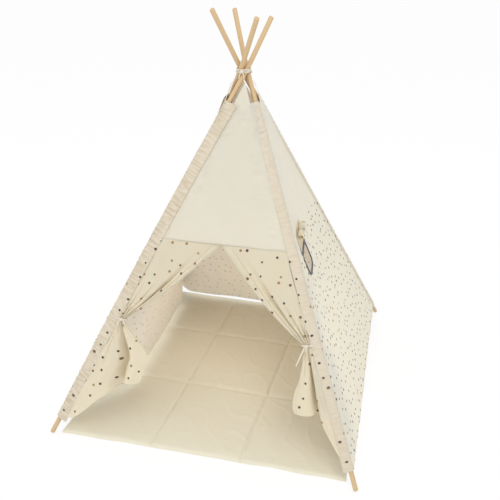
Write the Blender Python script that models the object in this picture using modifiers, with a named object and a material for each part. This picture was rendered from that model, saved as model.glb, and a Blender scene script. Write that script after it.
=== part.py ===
"""Kids' play teepee: four crossed two-piece wooden poles lashed at the crown, a sewn cotton canopy with
a tied-back door and a small window, and a quilted floor mat.

Metres, +Z up. The door faces -Y. The origin is on the floor, in the middle of the four feet.
Run it with: blender --background --python part.py
"""
import math

import bmesh
import bpy
from mathutils import Matrix, Vector

# Pole frame
FOOT_HALF_SPACING = 0.600
CROSSING_HEIGHT = 1.324
CROWN_DRIFT_X = 0.020
CROWN_DRIFT_Y = 0.026
POLE_LENGTH = 1.800
POLE_DIAMETER = 0.018
LOWER_POLE_LENGTH = 0.900
SPRING_RUN = 0.060
# Sideways drift of each pole per metre above the crossing, where the wood springs a little
TOP_SPRING_SHARES = {
    "front_left": (-0.055, -0.049),
    "front_right": (0.023, 0.115),
    "back_right": (0.033, 0.063),
    "back_left": (-0.033, -0.114),
}
FIT_GAP = 0.0003
CROSSING_GAP = 0.0012
FERRULE_LENGTH = 0.070
FERRULE_WALL = 0.0008

# Cloth sleeves round the poles
SLEEVE_EASE = 0.0005
SLEEVE_WALL = 0.0020
BARE_FOOT = 0.075
SLEEVE_TOP_HEIGHT = 1.210

# Canopy cloth
CLOTH_THICKNESS = 0.0030
CLOTH_GAP = 0.0006
SEAM_GAP = 0.0006
SEAM_HEIGHT = 0.745
HEM_HEIGHT = 0.075
PANEL_SHOULDER_HEIGHT = 1.215
PANEL_TIP_RISE = 0.065
PANEL_TIP_WIDTH = 0.006
LEFT_BULGE = 0.190
LEFT_HEM_DROP = 0.035
BACK_BULGE = 0.085
BACK_HEM_DROP = 0.030
RIGHT_BILLOW = 0.018
BULGE_EDGE_SHARE = 0.30
# The slack cloth turns in sooner at the back left pole, on both of the walls that meet there
LEFT_BACK_EDGE_SHARE = 0.20
BACK_LEFT_EDGE_SHARE = 0.17
# The cloth clears its sleeves before it turns in
SLEEVE_CLEAR_SHARE = 0.02
RIGHT_COLUMNS = 10
# Places of the columns of the slack walls' cloth, closer together beside the sleeves
LEFT_COLUMN_SHARES = (0.0, 0.02, 0.06, 0.10, 0.14, 0.20, 0.32, 0.45, 0.58, 0.70, 0.80, 0.88, 0.94, 0.98, 1.0)
BACK_COLUMN_SHARES = (0.0, 0.02, 0.08, 0.16, 0.26, 0.40, 0.55, 0.68, 0.80, 0.88, 0.95, 0.98, 1.0)
# Door: where the two flaps meet, as a share of the front's width from its left
DOOR_APEX_SHARE = 0.485
APEX_GAP = 0.0020
NECK_HEIGHT = 0.451
NECK_WIDTH = 0.044
NECK_OFF_POLE = 0.016
DRAPE_SAG_LEFT = 0.022
DRAPE_SAG_RIGHT = 0.034
DRAPE_FOLD_DEPTH = 0.016
DRAPE_FOLDS = 3
# How far above the tie, as a share of the drape's height, its folds reach their full depth
DRAPE_FOLD_RISE_SHARE = 0.30
TAIL_WIDTH_LEFT = 0.226
TAIL_WIDTH_RIGHT = 0.160
TAIL_FOLD_DEPTH = 0.030
TAIL_FOLDS = 2
TAIL_EDGE_SWELL_LEFT = 0.034
TAIL_EDGE_SWELL_RIGHT = 0.006
# Hem of each tied-back tail, from the pole out: share of its width, then of the neck's height over the hem
LEFT_TAIL_HEM_SHARES = ((0.0, 0.0), (0.40, 0.13), (0.75, 0.28), (0.85, 0.35), (1.0, 0.43))
RIGHT_TAIL_HEM_SHARES = ((0.0, 0.04), (0.29, 0.20), (0.45, 0.35), (0.60, 0.37), (1.0, 0.38))
TIE_HEIGHT = 0.014
TIE_DEPTH = 0.020
RIBBON_WIDTH = 0.007
RIBBON_THICKNESS = 0.0015
RIBBON_LENGTH = 0.075

# Window in the right wall
WINDOW_WIDTH = 0.130
WINDOW_HEIGHT = 0.170
WINDOW_CORNER_RADIUS = 0.034
WINDOW_FROM_POLE = 0.120
WINDOW_CENTRE_HEIGHT = 0.700
BINDING_WIDTH = 0.008
BINDING_THICKNESS = 0.0050
STRAP_WIDTH = 0.014
STRAP_THICKNESS = 0.0030
STRAP_HEIGHT_SHARE = 0.60
CURTAIN_ROLL_DIAMETER = 0.030
CURTAIN_ROLL_LENGTH = 0.112
CURTAIN_WAIST_DIAMETER = 0.020
CURTAIN_TIE_WIDTH = 0.008
CURTAIN_TIE_THICKNESS = 0.0015
CURTAIN_BOW_LENGTH = 0.040
CURTAIN_BOW_WIDTH = 0.012
HEADER_HEIGHT = 0.010
HEADER_THICKNESS = 0.0012

# Lashing
CORD_DIAMETER = 0.0045
CORD_TURNS = 3
CORD_PITCH = 0.0052
CORD_CORNER_POINTS = 5
CROWN_KNOT_DIAMETER = 0.014
CROWN_TAIL_LENGTH = 0.030

# Floor mat
MAT_WIDTH = 1.110
MAT_LENGTH = 1.090
MAT_SHIFT_Y = -0.027
MAT_EDGE_THICKNESS = 0.005
MAT_PAD_THICKNESS = 0.014
MAT_PADS = 3
MAT_CELLS_PER_PAD = 6
MAT_CORNER_EASE = 0.010
MAT_DRAW_IN = 0.004

# How finely the solids are faceted
ROUND_STEPS = 24
POLE_BEVEL_RESOLUTION = 6
CORD_BEVEL_RESOLUTION = 1
MERGE_DISTANCE = 0.00001
CUT_OVERRUN = 0.020

CORNERS = {
    "front_left": (-1, -1),
    "front_right": (1, -1),
    "back_right": (1, 1),
    "back_left": (-1, 1),
}
WALLS = {
    "front": ("front_left", "front_right"),
    "right": ("front_right", "back_right"),
    "back": ("back_right", "back_left"),
    "left": ("back_left", "front_left"),
}

POLE_RADIUS = POLE_DIAMETER / 2
FERRULE_INNER_RADIUS = POLE_RADIUS + FIT_GAP
FERRULE_OUTER_RADIUS = FERRULE_INNER_RADIUS + FERRULE_WALL
SLEEVE_INNER_RADIUS = FERRULE_OUTER_RADIUS + SLEEVE_EASE
SLEEVE_OUTER_RADIUS = SLEEVE_INNER_RADIUS + SLEEVE_WALL
LEAN = math.atan(math.sqrt(2) * FOOT_HALF_SPACING / CROSSING_HEIGHT)
# Sideways offset that lets neighbouring poles pass each other at the crossing without touching
CROSSING_OFFSET = (POLE_DIAMETER + CROSSING_GAP) * math.sqrt(1 + math.cos(LEAN) ** 2) / (2 * math.cos(LEAN))


def clear_scene():
    for existing in list(bpy.data.objects):
        bpy.data.objects.remove(existing, do_unlink=True)


def new_collection(name):
    made = bpy.data.collections.new(name)
    bpy.context.scene.collection.children.link(made)
    return made


def new_material(name, colour, roughness, metallic=0.0):
    made = bpy.data.materials.new(name)
    made.use_nodes = True
    shader = made.node_tree.nodes["Principled BSDF"]
    shader.inputs["Base Color"].default_value = (*colour, 1.0)
    shader.inputs["Roughness"].default_value = roughness
    shader.inputs["Metallic"].default_value = metallic
    return made


clear_scene()
TEEPEE = new_collection("kids_teepee")
CUTTERS = new_collection("cutters")
PINE = new_material("pine", (0.76, 0.57, 0.34), 0.55)
STEEL = new_material("ferrule_steel", (0.62, 0.62, 0.60), 0.30, 1.0)
IVORY_COTTON = new_material("ivory_cotton", (0.86, 0.82, 0.72), 0.90)
DOTTED_COTTON = new_material("dotted_cotton", (0.84, 0.79, 0.68), 0.90)
QUILTED_COTTON = new_material("quilted_cotton", (0.78, 0.71, 0.56), 0.92)
NAVY_TAPE = new_material("navy_tape", (0.10, 0.11, 0.15), 0.80)
CREAM_CORD = new_material("cream_cord", (0.88, 0.83, 0.72), 0.85)


def add_object(name, data, material, matrix=None, smooth=True):
    """Puts a mesh or curve in the teepee's collection under its node name."""
    made = bpy.data.objects.new(name, data)
    TEEPEE.objects.link(made)
    if matrix is not None:
        made.matrix_world = matrix
    data.materials.append(material)
    if smooth and isinstance(data, bpy.types.Mesh):
        data.shade_smooth()
    return made


def add_pivot(name, place):
    """An empty on a joint's axis, for the pieces that move about it."""
    pivot = bpy.data.objects.new(name, None)
    TEEPEE.objects.link(pivot)
    pivot.location = place
    return pivot


def carry(pivot, pieces, parent=None):
    """Parents pieces to a pivot and leaves them where they are."""
    bpy.context.view_layer.update()
    for piece in pieces:
        piece.parent = pivot
        piece.matrix_parent_inverse = pivot.matrix_world.inverted()
    if parent is not None:
        pivot.parent = parent
        pivot.matrix_parent_inverse = parent.matrix_world.inverted()


def as_mesh(made):
    """Replaces a curve object by its mesh, with the loose caps welded on."""
    bpy.context.view_layer.update()
    evaluated = made.evaluated_get(bpy.context.evaluated_depsgraph_get())
    mesh = bpy.data.meshes.new_from_object(evaluated)
    work = bmesh.new()
    work.from_mesh(mesh)
    bmesh.ops.remove_doubles(work, verts=work.verts, dist=MERGE_DISTANCE)
    work.to_mesh(mesh)
    work.free()
    name, matrix = made.name, made.matrix_world.copy()
    bpy.data.objects.remove(made, do_unlink=True)
    solid = bpy.data.objects.new(name, mesh)
    TEEPEE.objects.link(solid)
    solid.matrix_world = matrix
    mesh.shade_smooth()
    return solid


def smoothstep(x):
    x = min(max(x, 0.0), 1.0)
    return x * x * (3 - 2 * x)


def frame_along(direction, origin, side=None):
    """A placement whose local Z runs along direction and whose local X lies near side."""
    up = Vector(direction).normalized()
    side = Vector(side) if side is not None else up.orthogonal()
    across = up.cross(side).normalized()
    along = across.cross(up).normalized()
    turn = Matrix((along, across, up)).transposed().to_4x4()
    return Matrix.Translation(origin) @ turn


def radial(corner):
    """Level unit vector from the middle of the tent to a foot."""
    return Vector((*CORNERS[corner], 0)).normalized()


def tangent(corner):
    """Level unit vector a quarter turn on from the radial one: the pole's folding axis."""
    out = radial(corner)
    return Vector((-out.y, out.x, 0))


def floor_point(corner):
    return Vector((*CORNERS[corner], 0)) * FOOT_HALF_SPACING


def crossing(corner):
    middle = Vector((CROWN_DRIFT_X, CROWN_DRIFT_Y, CROSSING_HEIGHT))
    return middle + tangent(corner) * CROSSING_OFFSET


def pole_direction(corner):
    return (crossing(corner) - floor_point(corner)).normalized()


def pole_point(corner, along):
    """A point on a pole's centre line, measured from the floor; the wood springs above the crossing."""
    line = floor_point(corner) + pole_direction(corner) * along
    above = along - (crossing(corner) - floor_point(corner)).length
    if above <= 0:
        return line
    if above < SPRING_RUN:
        reach = above * above / (2 * SPRING_RUN)
    else:
        reach = above - SPRING_RUN / 2
    drift_x, drift_y = TOP_SPRING_SHARES[corner]
    return line + Vector((drift_x, drift_y, 0)) * reach


def pole_at_height(corner, height):
    direction = pole_direction(corner)
    return floor_point(corner) + direction * (height / direction.z)


def foot_start(corner):
    """Distance from the floor point to the middle of the square-cut foot, whose rim stands on the floor."""
    upright = pole_direction(corner).z
    return POLE_RADIUS * math.sqrt(1 - upright * upright) / upright


def tube_mesh(name, inner, outer, length):
    """A round tube along local Z, from a rectangle profile turned by a Screw modifier."""
    mesh = bpy.data.meshes.new(name)
    work = bmesh.new()
    profile = [(outer, length), (outer, 0), (inner, 0), (inner, length)]
    corners = [work.verts.new((radius, 0, height)) for radius, height in profile]
    for first, second in zip(corners, corners[1:] + corners[:1]):
        work.edges.new((first, second))
    work.to_mesh(mesh)
    work.free()
    return mesh


def turned_mesh(name, profile):
    """A profile down the outer side, for a Screw modifier."""
    mesh = bpy.data.meshes.new(name)
    work = bmesh.new()
    corners = [work.verts.new((radius, 0, height)) for radius, height in profile]
    for first, second in zip(corners, corners[1:]):
        work.edges.new((first, second))
    work.to_mesh(mesh)
    work.free()
    return mesh


def add_screw(made):
    screw = made.modifiers.new("turn", "SCREW")
    screw.steps = ROUND_STEPS
    screw.render_steps = ROUND_STEPS
    screw.use_merge_vertices = True
    screw.merge_threshold = MERGE_DISTANCE
    return made


def rod_curve(name, points, radius, resolution):
    """A round rod or cord through points, with closed ends."""
    curve = bpy.data.curves.new(name, "CURVE")
    curve.dimensions = "3D"
    curve.bevel_depth = radius
    curve.bevel_resolution = resolution
    curve.use_fill_caps = True
    spline = curve.splines.new("POLY")
    spline.points.add(len(points) - 1)
    for place, point in zip(spline.points, points):
        place.co = (*point, 1)
    return curve


def outline_curve(name, outlines, thickness):
    """A flat plate in local XY: closed outlines, the second and later ones being holes."""
    curve = bpy.data.curves.new(name, "CURVE")
    curve.dimensions = "2D"
    curve.fill_mode = "BOTH"
    curve.extrude = thickness / 2
    for outline in outlines:
        spline = curve.splines.new("POLY")
        spline.points.add(len(outline) - 1)
        for place, (x, y) in zip(spline.points, outline):
            place.co = (x, y, 0, 1)
        spline.use_cyclic_u = True
    return curve


def rounded_rectangle(width, height, radius, corner_steps=6):
    """Outline of a rectangle with round corners, about its middle."""
    points = []
    for quarter, (side_x, side_y) in enumerate(((1, 1), (-1, 1), (-1, -1), (1, -1))):
        centre_x = side_x * (width / 2 - radius)
        centre_y = side_y * (height / 2 - radius)
        for step in range(corner_steps + 1):
            angle = math.pi / 2 * (quarter + step / corner_steps)
            points.append((centre_x + radius * math.cos(angle), centre_y + radius * math.sin(angle)))
    return points


def lower_pole(corner):
    start = foot_start(corner)
    points = [pole_point(corner, start), pole_point(corner, start + LOWER_POLE_LENGTH)]
    curve = rod_curve(f"lower_pole_{corner}", points, POLE_RADIUS, POLE_BEVEL_RESOLUTION)
    return add_object(f"lower_pole_{corner}", curve, PINE)


def upper_pole(corner):
    """From the ferrule to the free end, bending gently just above the crossing."""
    start = foot_start(corner) + LOWER_POLE_LENGTH + FIT_GAP
    end = foot_start(corner) + POLE_LENGTH
    bend = (crossing(corner) - floor_point(corner)).length
    stations = [start, bend, bend + SPRING_RUN / 3, bend + 2 * SPRING_RUN / 3, bend + SPRING_RUN, end]
    points = [pole_point(corner, along) for along in stations]
    curve = rod_curve(f"upper_pole_{corner}", points, POLE_RADIUS, POLE_BEVEL_RESOLUTION)
    return add_object(f"upper_pole_{corner}", curve, PINE)


def ferrule(corner):
    """The metal tube that joins the two halves of a pole."""
    middle = foot_start(corner) + LOWER_POLE_LENGTH
    place = frame_along(pole_direction(corner), pole_point(corner, middle - FERRULE_LENGTH / 2))
    mesh = tube_mesh(f"ferrule_{corner}", FERRULE_INNER_RADIUS, FERRULE_OUTER_RADIUS, FERRULE_LENGTH)
    return add_screw(add_object(f"ferrule_{corner}", mesh, STEEL, place))


def sleeve(corner):
    """The sewn channel of cloth that a pole slides into."""
    direction = pole_direction(corner)
    start = foot_start(corner) + BARE_FOOT
    length = SLEEVE_TOP_HEIGHT / direction.z - start
    mesh = tube_mesh(f"pole_sleeve_{corner}", SLEEVE_INNER_RADIUS, SLEEVE_OUTER_RADIUS, length)
    place = frame_along(direction, pole_point(corner, start))
    return add_screw(add_object(f"pole_sleeve_{corner}", mesh, IVORY_COTTON, place))


class Wall:
    """One side of the canopy: a sheet stretched over the outside of two sleeves."""

    def __init__(self, name):
        self.first, self.second = WALLS[name]
        base = floor_point(self.second) - floor_point(self.first)
        rise = (crossing(self.first) + crossing(self.second)) / 2
        rise -= (floor_point(self.first) + floor_point(self.second)) / 2
        self.across = base.normalized()
        self.outward = base.cross(rise).normalized()
        self.inward = -Vector((self.outward.x, self.outward.y, 0)).normalized()
        self.offset = SLEEVE_OUTER_RADIUS + CLOTH_GAP + CLOTH_THICKNESS / 2
        self.bulge = {"left": LEFT_BULGE, "back": BACK_BULGE}.get(name, 0.0)
        self.drop = {"left": LEFT_HEM_DROP, "back": BACK_HEM_DROP}.get(name, 0.0)
        self.billow = RIGHT_BILLOW if name == "right" else 0.0
        self.first_ease = LEFT_BACK_EDGE_SHARE if name == "left" else BULGE_EDGE_SHARE
        self.second_ease = BACK_LEFT_EDGE_SHARE if name == "back" else BULGE_EDGE_SHARE

    def edge(self, corner, height):
        """Where the cloth's middle touches over a pole: tangent to its sleeve."""
        level = pole_at_height(self.second, height) - pole_at_height(self.first, height)
        return pole_at_height(corner, height) + level.cross(pole_direction(corner)).normalized() * self.offset

    def width(self, height):
        return (self.edge(self.second, height) - self.edge(self.first, height)).length

    def turn_in(self, share, ease):
        """How much of its slack the cloth has taken up, at a share of the width from one pole."""
        return smoothstep((share - SLEEVE_CLEAR_SHARE) / (ease - SLEEVE_CLEAR_SHARE))

    def point(self, share, height):
        """A point of the cloth: share runs from the first pole to the second."""
        taut = self.edge(self.first, height).lerp(self.edge(self.second, height), share)
        spread = self.turn_in(share, self.first_ease) * self.turn_in(1 - share, self.second_ease)
        below = min(max((SEAM_HEIGHT - height) / (SEAM_HEIGHT - HEM_HEIGHT), 0.0), 1.0)
        rise = min(max((height - HEM_HEIGHT) / (PANEL_SHOULDER_HEIGHT - HEM_HEIGHT), 0.0), 1.0)
        slack = self.bulge * below * spread
        slack += self.billow * math.sin(math.pi * share) ** 2 * math.sin(math.pi * rise)
        return taut + self.inward * slack - Vector((0, 0, self.drop * below * spread))


def cloth_panel(name, point_at, columns, rows, material, thickness=CLOTH_THICKNESS):
    """A sheet of cloth: a grid shaped by point_at(across, up), given its thickness by Solidify."""
    mesh = bpy.data.meshes.new(name)
    work = bmesh.new()
    bmesh.ops.create_grid(work, x_segments=columns, y_segments=rows, size=1)
    for vertex in work.verts:
        vertex.co = point_at((vertex.co.x + 1) / 2, (vertex.co.y + 1) / 2)
    work.to_mesh(mesh)
    work.free()
    panel = add_object(name, mesh, material)
    wall = panel.modifiers.new("thickness", "SOLIDIFY")
    wall.thickness = thickness
    wall.offset = 0
    return panel


def upper_panel(wall_name):
    """The plain upper cloth of one side: up to the sleeves' tops, then a free pointed tip."""
    wall = Wall(wall_name)
    bottom = SEAM_HEIGHT + SEAM_GAP / 2
    tip_rows = 1
    rows = 8 if wall.billow else 5
    columns = 10 if wall.billow else 4

    def point_at(across, up):
        row = round(up * (rows + tip_rows))
        if row <= rows:
            height = bottom + (PANEL_SHOULDER_HEIGHT - bottom) * row / rows
            return wall.point(across, height)
        height = PANEL_SHOULDER_HEIGHT + PANEL_TIP_RISE
        half = PANEL_TIP_WIDTH / 2
        middle = wall.point(1 / 2, height)
        return middle + wall.across * (2 * across - 1) * half

    return cloth_panel(f"{wall_name}_upper_panel", point_at, columns, rows + tip_rows, IVORY_COTTON)


def lower_panel(wall_name, shares, rows):
    """The printed lower cloth of one side, from the level seam down to the hem."""
    wall = Wall(wall_name)
    top = SEAM_HEIGHT - SEAM_GAP / 2
    columns = len(shares) - 1

    def point_at(across, up):
        return wall.point(shares[round(across * columns)], HEM_HEIGHT + (top - HEM_HEIGHT) * up)

    return cloth_panel(f"{wall_name}_lower_panel", point_at, columns, rows, DOTTED_COTTON)


class Flap:
    """One half of the door, gathered and tied to its pole. Places on it are a reach from the pole
    and a height, on the front wall."""

    def __init__(self, side):
        self.side = side
        self.wall = Wall("front")
        self.corner = f"front_{side}"
        self.inward = self.wall.across if side == "left" else -self.wall.across
        self.upslope = self.wall.outward.cross(self.wall.across).normalized()
        share = DOOR_APEX_SHARE if side == "left" else 1 - DOOR_APEX_SHARE
        top = SEAM_HEIGHT - SEAM_GAP / 2
        self.apex_reach = self.wall.width(top) * share - APEX_GAP / 2
        self.sag = DRAPE_SAG_LEFT if side == "left" else DRAPE_SAG_RIGHT
        self.tail_width = TAIL_WIDTH_LEFT if side == "left" else TAIL_WIDTH_RIGHT
        self.swell = TAIL_EDGE_SWELL_LEFT if side == "left" else TAIL_EDGE_SWELL_RIGHT
        self.hem = LEFT_TAIL_HEM_SHARES if side == "left" else RIGHT_TAIL_HEM_SHARES

    def place(self, reach, height, proud=0.0):
        share = reach / self.wall.width(height)
        share = share if self.side == "left" else 1 - share
        return self.wall.point(share, height) + self.wall.outward * proud

    def neck_reach(self, across):
        return NECK_OFF_POLE * across + NECK_WIDTH * across

    def drape_point(self, across, up):
        """From the neck (up 0) to the seam (up 1); across runs from the pole to the free edge."""
        top = SEAM_HEIGHT - SEAM_GAP / 2
        low = NECK_HEIGHT + (TIE_HEIGHT / 2 + FIT_GAP) * self.upslope.z
        down = 1 - up
        reach = self.apex_reach * across * up + self.neck_reach(across) * down
        height = low + (top - low) * up - self.sag * across * 4 * up * down
        fold = DRAPE_FOLD_DEPTH * math.sin(math.pi * DRAPE_FOLDS * across) ** 2
        return self.place(reach, height, fold * down * smoothstep(up / DRAPE_FOLD_RISE_SHARE))

    def hem_place(self, across):
        """Reach and height of the tail's hem."""
        full = NECK_HEIGHT - HEM_HEIGHT
        for (low, low_rise), (high, high_rise) in zip(self.hem, self.hem[1:]):
            if across <= high:
                part = (across - low) / (high - low)
                rise = low_rise + (high_rise - low_rise) * part
                return self.tail_width * across, HEM_HEIGHT + full * rise
        raise ValueError("across runs from 0 to 1")

    def tail_point(self, across, up):
        """From the hem (up 0) to the neck (up 1), in two broad folds with a deep one between them."""
        high = NECK_HEIGHT - (TIE_HEIGHT / 2 + FIT_GAP) * self.upslope.z
        hem_reach, hem_height = self.hem_place(across)
        reach = hem_reach + (self.neck_reach(across) - hem_reach) * up
        reach += self.swell * across * 4 * up * (1 - up)
        height = hem_height + (high - hem_height) * up
        fold = TAIL_FOLD_DEPTH * math.sin(math.pi * TAIL_FOLDS * across) ** 2
        return self.place(reach, height, fold * (1 - up) * min(1, 2 * (1 - up)))


def door_drape(side):
    return cloth_panel(f"door_drape_{side}", Flap(side).drape_point, 12, 8, DOTTED_COTTON)


def door_tail(side):
    return cloth_panel(f"door_tail_{side}", Flap(side).tail_point, 12, 7, DOTTED_COTTON)


def join_solids(base, others):
    """Unites overlapping solids into the first one."""
    for other in others:
        CUTTERS.objects.link(other)
        TEEPEE.objects.unlink(other)
        other.hide_render = True
        other.display_type = "WIRE"
        union = base.modifiers.new("join", "BOOLEAN")
        union.operation = "UNION"
        union.object = other
    return base


def ball_mesh(name, size):
    """A round knot, squashed to size."""
    mesh = bpy.data.meshes.new(name)
    work = bmesh.new()
    bmesh.ops.create_uvsphere(work, u_segments=12, v_segments=8, radius=1 / 2)
    bmesh.ops.scale(work, vec=size, verts=work.verts)
    work.to_mesh(mesh)
    work.free()
    return mesh


def box_mesh(name, size):
    mesh = bpy.data.meshes.new(name)
    work = bmesh.new()
    bmesh.ops.create_cube(work, size=1)
    bmesh.ops.scale(work, vec=size, verts=work.verts)
    work.to_mesh(mesh)
    work.free()
    return mesh


def door_tie(side):
    """The ribbon knot that gathers a flap, with its two ends hanging in front of the tail."""
    flap = Flap(side)
    near = SLEEVE_OUTER_RADIUS + CLOTH_GAP + FIT_GAP
    far = flap.neck_reach(1) + RIBBON_WIDTH
    across = frame_along(flap.wall.outward, flap.place((near + far) / 2, NECK_HEIGHT), flap.inward)
    knot_size = (far - near, TIE_HEIGHT, TIE_DEPTH)
    knot = add_object(f"door_tie_{side}", ball_mesh(f"door_tie_{side}", knot_size), CREAM_CORD, across)
    ends = []
    for number, share in enumerate((1 / 4, 3 / 4)):
        size = (RIBBON_WIDTH, RIBBON_THICKNESS, RIBBON_LENGTH)
        reach = near + (far - near) * share
        clear = CLOTH_THICKNESS + TAIL_FOLD_DEPTH / 8 + RIBBON_THICKNESS
        top = flap.place(reach, NECK_HEIGHT, clear)
        place = frame_along(flap.upslope, top - flap.upslope * RIBBON_LENGTH / 2, flap.inward)
        ends.append(add_object(f"ribbon_{side}_{number}", box_mesh("ribbon", size), CREAM_CORD, place))
    return join_solids(knot, ends)


def window_frame():
    """Placement of the window on the right wall: local X level, Y up the cloth, Z outward."""
    wall = Wall("right")
    height = WINDOW_CENTRE_HEIGHT
    centre = wall.point(WINDOW_FROM_POLE / wall.width(height), height)
    near = wall.point((WINDOW_FROM_POLE - WINDOW_WIDTH / 2) / wall.width(height), height)
    far = wall.point((WINDOW_FROM_POLE + WINDOW_WIDTH / 2) / wall.width(height), height)
    level = (far - near).normalized()
    outward = wall.outward - level * wall.outward.dot(level)
    return frame_along(outward.normalized(), centre, level)


def window_cutter():
    outline = rounded_rectangle(WINDOW_WIDTH, WINDOW_HEIGHT, WINDOW_CORNER_RADIUS)
    curve = outline_curve("window_cutter", [outline], CUT_OVERRUN * 2)
    cutter = bpy.data.objects.new("window_cutter", curve)
    TEEPEE.objects.link(cutter)
    cutter.matrix_world = window_frame()
    cutter = as_mesh(cutter)
    TEEPEE.objects.unlink(cutter)
    CUTTERS.objects.link(cutter)
    cutter.hide_render = True
    cutter.display_type = "WIRE"
    return cutter


def cut(panel, cutter):
    opening = panel.modifiers.new("window", "BOOLEAN")
    opening.operation = "DIFFERENCE"
    opening.object = cutter


def window_binding():
    """The tape round the window's edge."""
    outer_width = WINDOW_WIDTH - 2 * FIT_GAP
    outer_height = WINDOW_HEIGHT - 2 * FIT_GAP
    outer = rounded_rectangle(outer_width, outer_height, WINDOW_CORNER_RADIUS - FIT_GAP)
    inner_width = WINDOW_WIDTH - 2 * BINDING_WIDTH
    inner_height = WINDOW_HEIGHT - 2 * BINDING_WIDTH
    inner = rounded_rectangle(inner_width, inner_height, WINDOW_CORNER_RADIUS - BINDING_WIDTH)
    curve = outline_curve("window_binding", [outer, inner], BINDING_THICKNESS)
    ring = add_object("window_binding", curve, NAVY_TAPE, window_frame())
    return ring


def window_strap():
    """The tape bar across the window."""
    length = WINDOW_WIDTH - 2 * BINDING_WIDTH - 2 * FIT_GAP
    height = (WINDOW_HEIGHT - 2 * BINDING_WIDTH) * (STRAP_HEIGHT_SHARE - 1 / 2)
    place = window_frame() @ Matrix.Translation((0, height, 0))
    mesh = box_mesh("window_strap", (length, STRAP_WIDTH, STRAP_THICKNESS))
    return add_object("window_strap", mesh, NAVY_TAPE, place, smooth=False)


def header_lift():
    """How far the curtain's sewn-on edge stands out from the middle of the wall's cloth."""
    return CLOTH_THICKNESS / 2 + CLOTH_GAP + HEADER_THICKNESS / 2


def curtain_header():
    """The strip by which the rolled curtain is sewn on, just above the window."""
    wall = Wall("right")
    top = window_frame() @ Vector((0, WINDOW_HEIGHT / 2, 0))

    def point_at(across, up):
        height = top.z + FIT_GAP + HEADER_HEIGHT * up
        reach = WINDOW_FROM_POLE + CURTAIN_ROLL_LENGTH * (across - 1 / 2)
        return wall.point(reach / wall.width(WINDOW_CENTRE_HEIGHT), height) + wall.outward * header_lift()

    return cloth_panel("curtain_header", point_at, 4, 1, DOTTED_COTTON, HEADER_THICKNESS)


def roll_place():
    """Middle of the rolled curtain, outside the window's upper edge; its local Z runs along the roll."""
    out = header_lift() + BINDING_THICKNESS / 2 + CLOTH_GAP + CURTAIN_ROLL_DIAMETER / 2
    seat = Matrix.Translation((0, WINDOW_HEIGHT / 2, out))
    return window_frame() @ seat @ Matrix.Rotation(math.pi / 2, 4, "Y")


def curtain_roll():
    """The rolled-up window curtain, drawn in where it is tied."""
    half = CURTAIN_ROLL_LENGTH / 2
    fat = CURTAIN_ROLL_DIAMETER / 2
    waist = CURTAIN_WAIST_DIAMETER / 2
    tie = CURTAIN_TIE_WIDTH
    upper = [(0, half), (fat * 3 / 4, half), (fat, half - tie), (fat, half * 2 / 3), (waist, tie)]
    lower = [(radius, -height) for radius, height in reversed(upper)]
    roll = add_object("curtain_roll", turned_mesh("curtain_roll", upper + lower), DOTTED_COTTON, roll_place())
    return add_screw(roll)


def curtain_tie():
    """The ribbon round the roll's waist, with a bow on its outer side."""
    inner = CURTAIN_WAIST_DIAMETER / 2 + FIT_GAP
    outer = inner + CURTAIN_TIE_THICKNESS
    width = CURTAIN_TIE_WIDTH
    place = roll_place() @ Matrix.Translation((0, 0, -width / 2))
    ring = tube_mesh("curtain_tie", inner, outer, width)
    band = add_screw(add_object("curtain_tie", ring, CREAM_CORD, place))
    loops = []
    for side in (-1, 1):
        # The frame's local -X points outward here, so the bow stands off the roll
        out = -(CURTAIN_ROLL_DIAMETER / 2 + CURTAIN_BOW_WIDTH / 2)
        seat = roll_place() @ Matrix.Translation((out, side * CURTAIN_BOW_LENGTH / 4, 0))
        size = (CURTAIN_BOW_WIDTH, CURTAIN_BOW_LENGTH / 2 + CURTAIN_BOW_WIDTH / 4, CURTAIN_TIE_WIDTH)
        loops.append(add_object(f"bow_{side}", ball_mesh("bow", size), CREAM_CORD, seat))
    reach = CURTAIN_ROLL_DIAMETER / 2 + CURTAIN_BOW_WIDTH / 2 - inner
    middle = -(inner + CURTAIN_TIE_THICKNESS / 2 + reach / 2)
    stem_size = (reach, CURTAIN_TIE_WIDTH / 2, CURTAIN_TIE_WIDTH / 2)
    stem_place = roll_place() @ Matrix.Translation((middle, 0, 0))
    loops.append(add_object("bow_knot", box_mesh("bow_knot", stem_size), CREAM_CORD, stem_place))
    return join_solids(band, loops)


def lashing_points():
    """Turns of cord drawn tight round the four crossed poles: round each pole, straight between them."""
    wrap = POLE_RADIUS / math.cos(LEAN) + FIT_GAP + CORD_DIAMETER / 2
    middle = Vector((CROWN_DRIFT_X, CROWN_DRIFT_Y, CROSSING_HEIGHT))
    total = CORD_TURNS * 4 * CORD_CORNER_POINTS
    points = []
    for number in range(total + 1):
        turn = number / (4 * CORD_CORNER_POINTS)
        level = (turn - CORD_TURNS / 2) * CORD_PITCH
        quarter, step = divmod(number, CORD_CORNER_POINTS)
        corner = ("front_right", "back_right", "back_left", "front_left")[quarter % 4]
        spread = (abs(level) + CORD_DIAMETER / 2) * math.tan(LEAN)
        out = math.hypot(CROSSING_OFFSET, spread)
        heading = math.atan2(tangent(corner).y, tangent(corner).x)
        heading += math.atan2(level * math.tan(LEAN), CROSSING_OFFSET)
        seat = Vector((math.cos(heading), math.sin(heading), 0)) * out
        angle = heading + (step / (CORD_CORNER_POINTS - 1) - 1 / 2) * math.pi / 2
        around = Vector((math.cos(angle), math.sin(angle), 0)) * wrap
        points.append(middle + seat + around + Vector((0, 0, level)))
    return points


def least_gap_between_turns(points):
    """Clear space between one turn of the cord and the next, measured on the route's points."""
    turn = 4 * CORD_CORNER_POINTS
    nearest = min(
        (points[first] - points[second]).length
        for first in range(len(points))
        for second in range(first + turn // 2, len(points))
    )
    return nearest - CORD_DIAMETER


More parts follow.
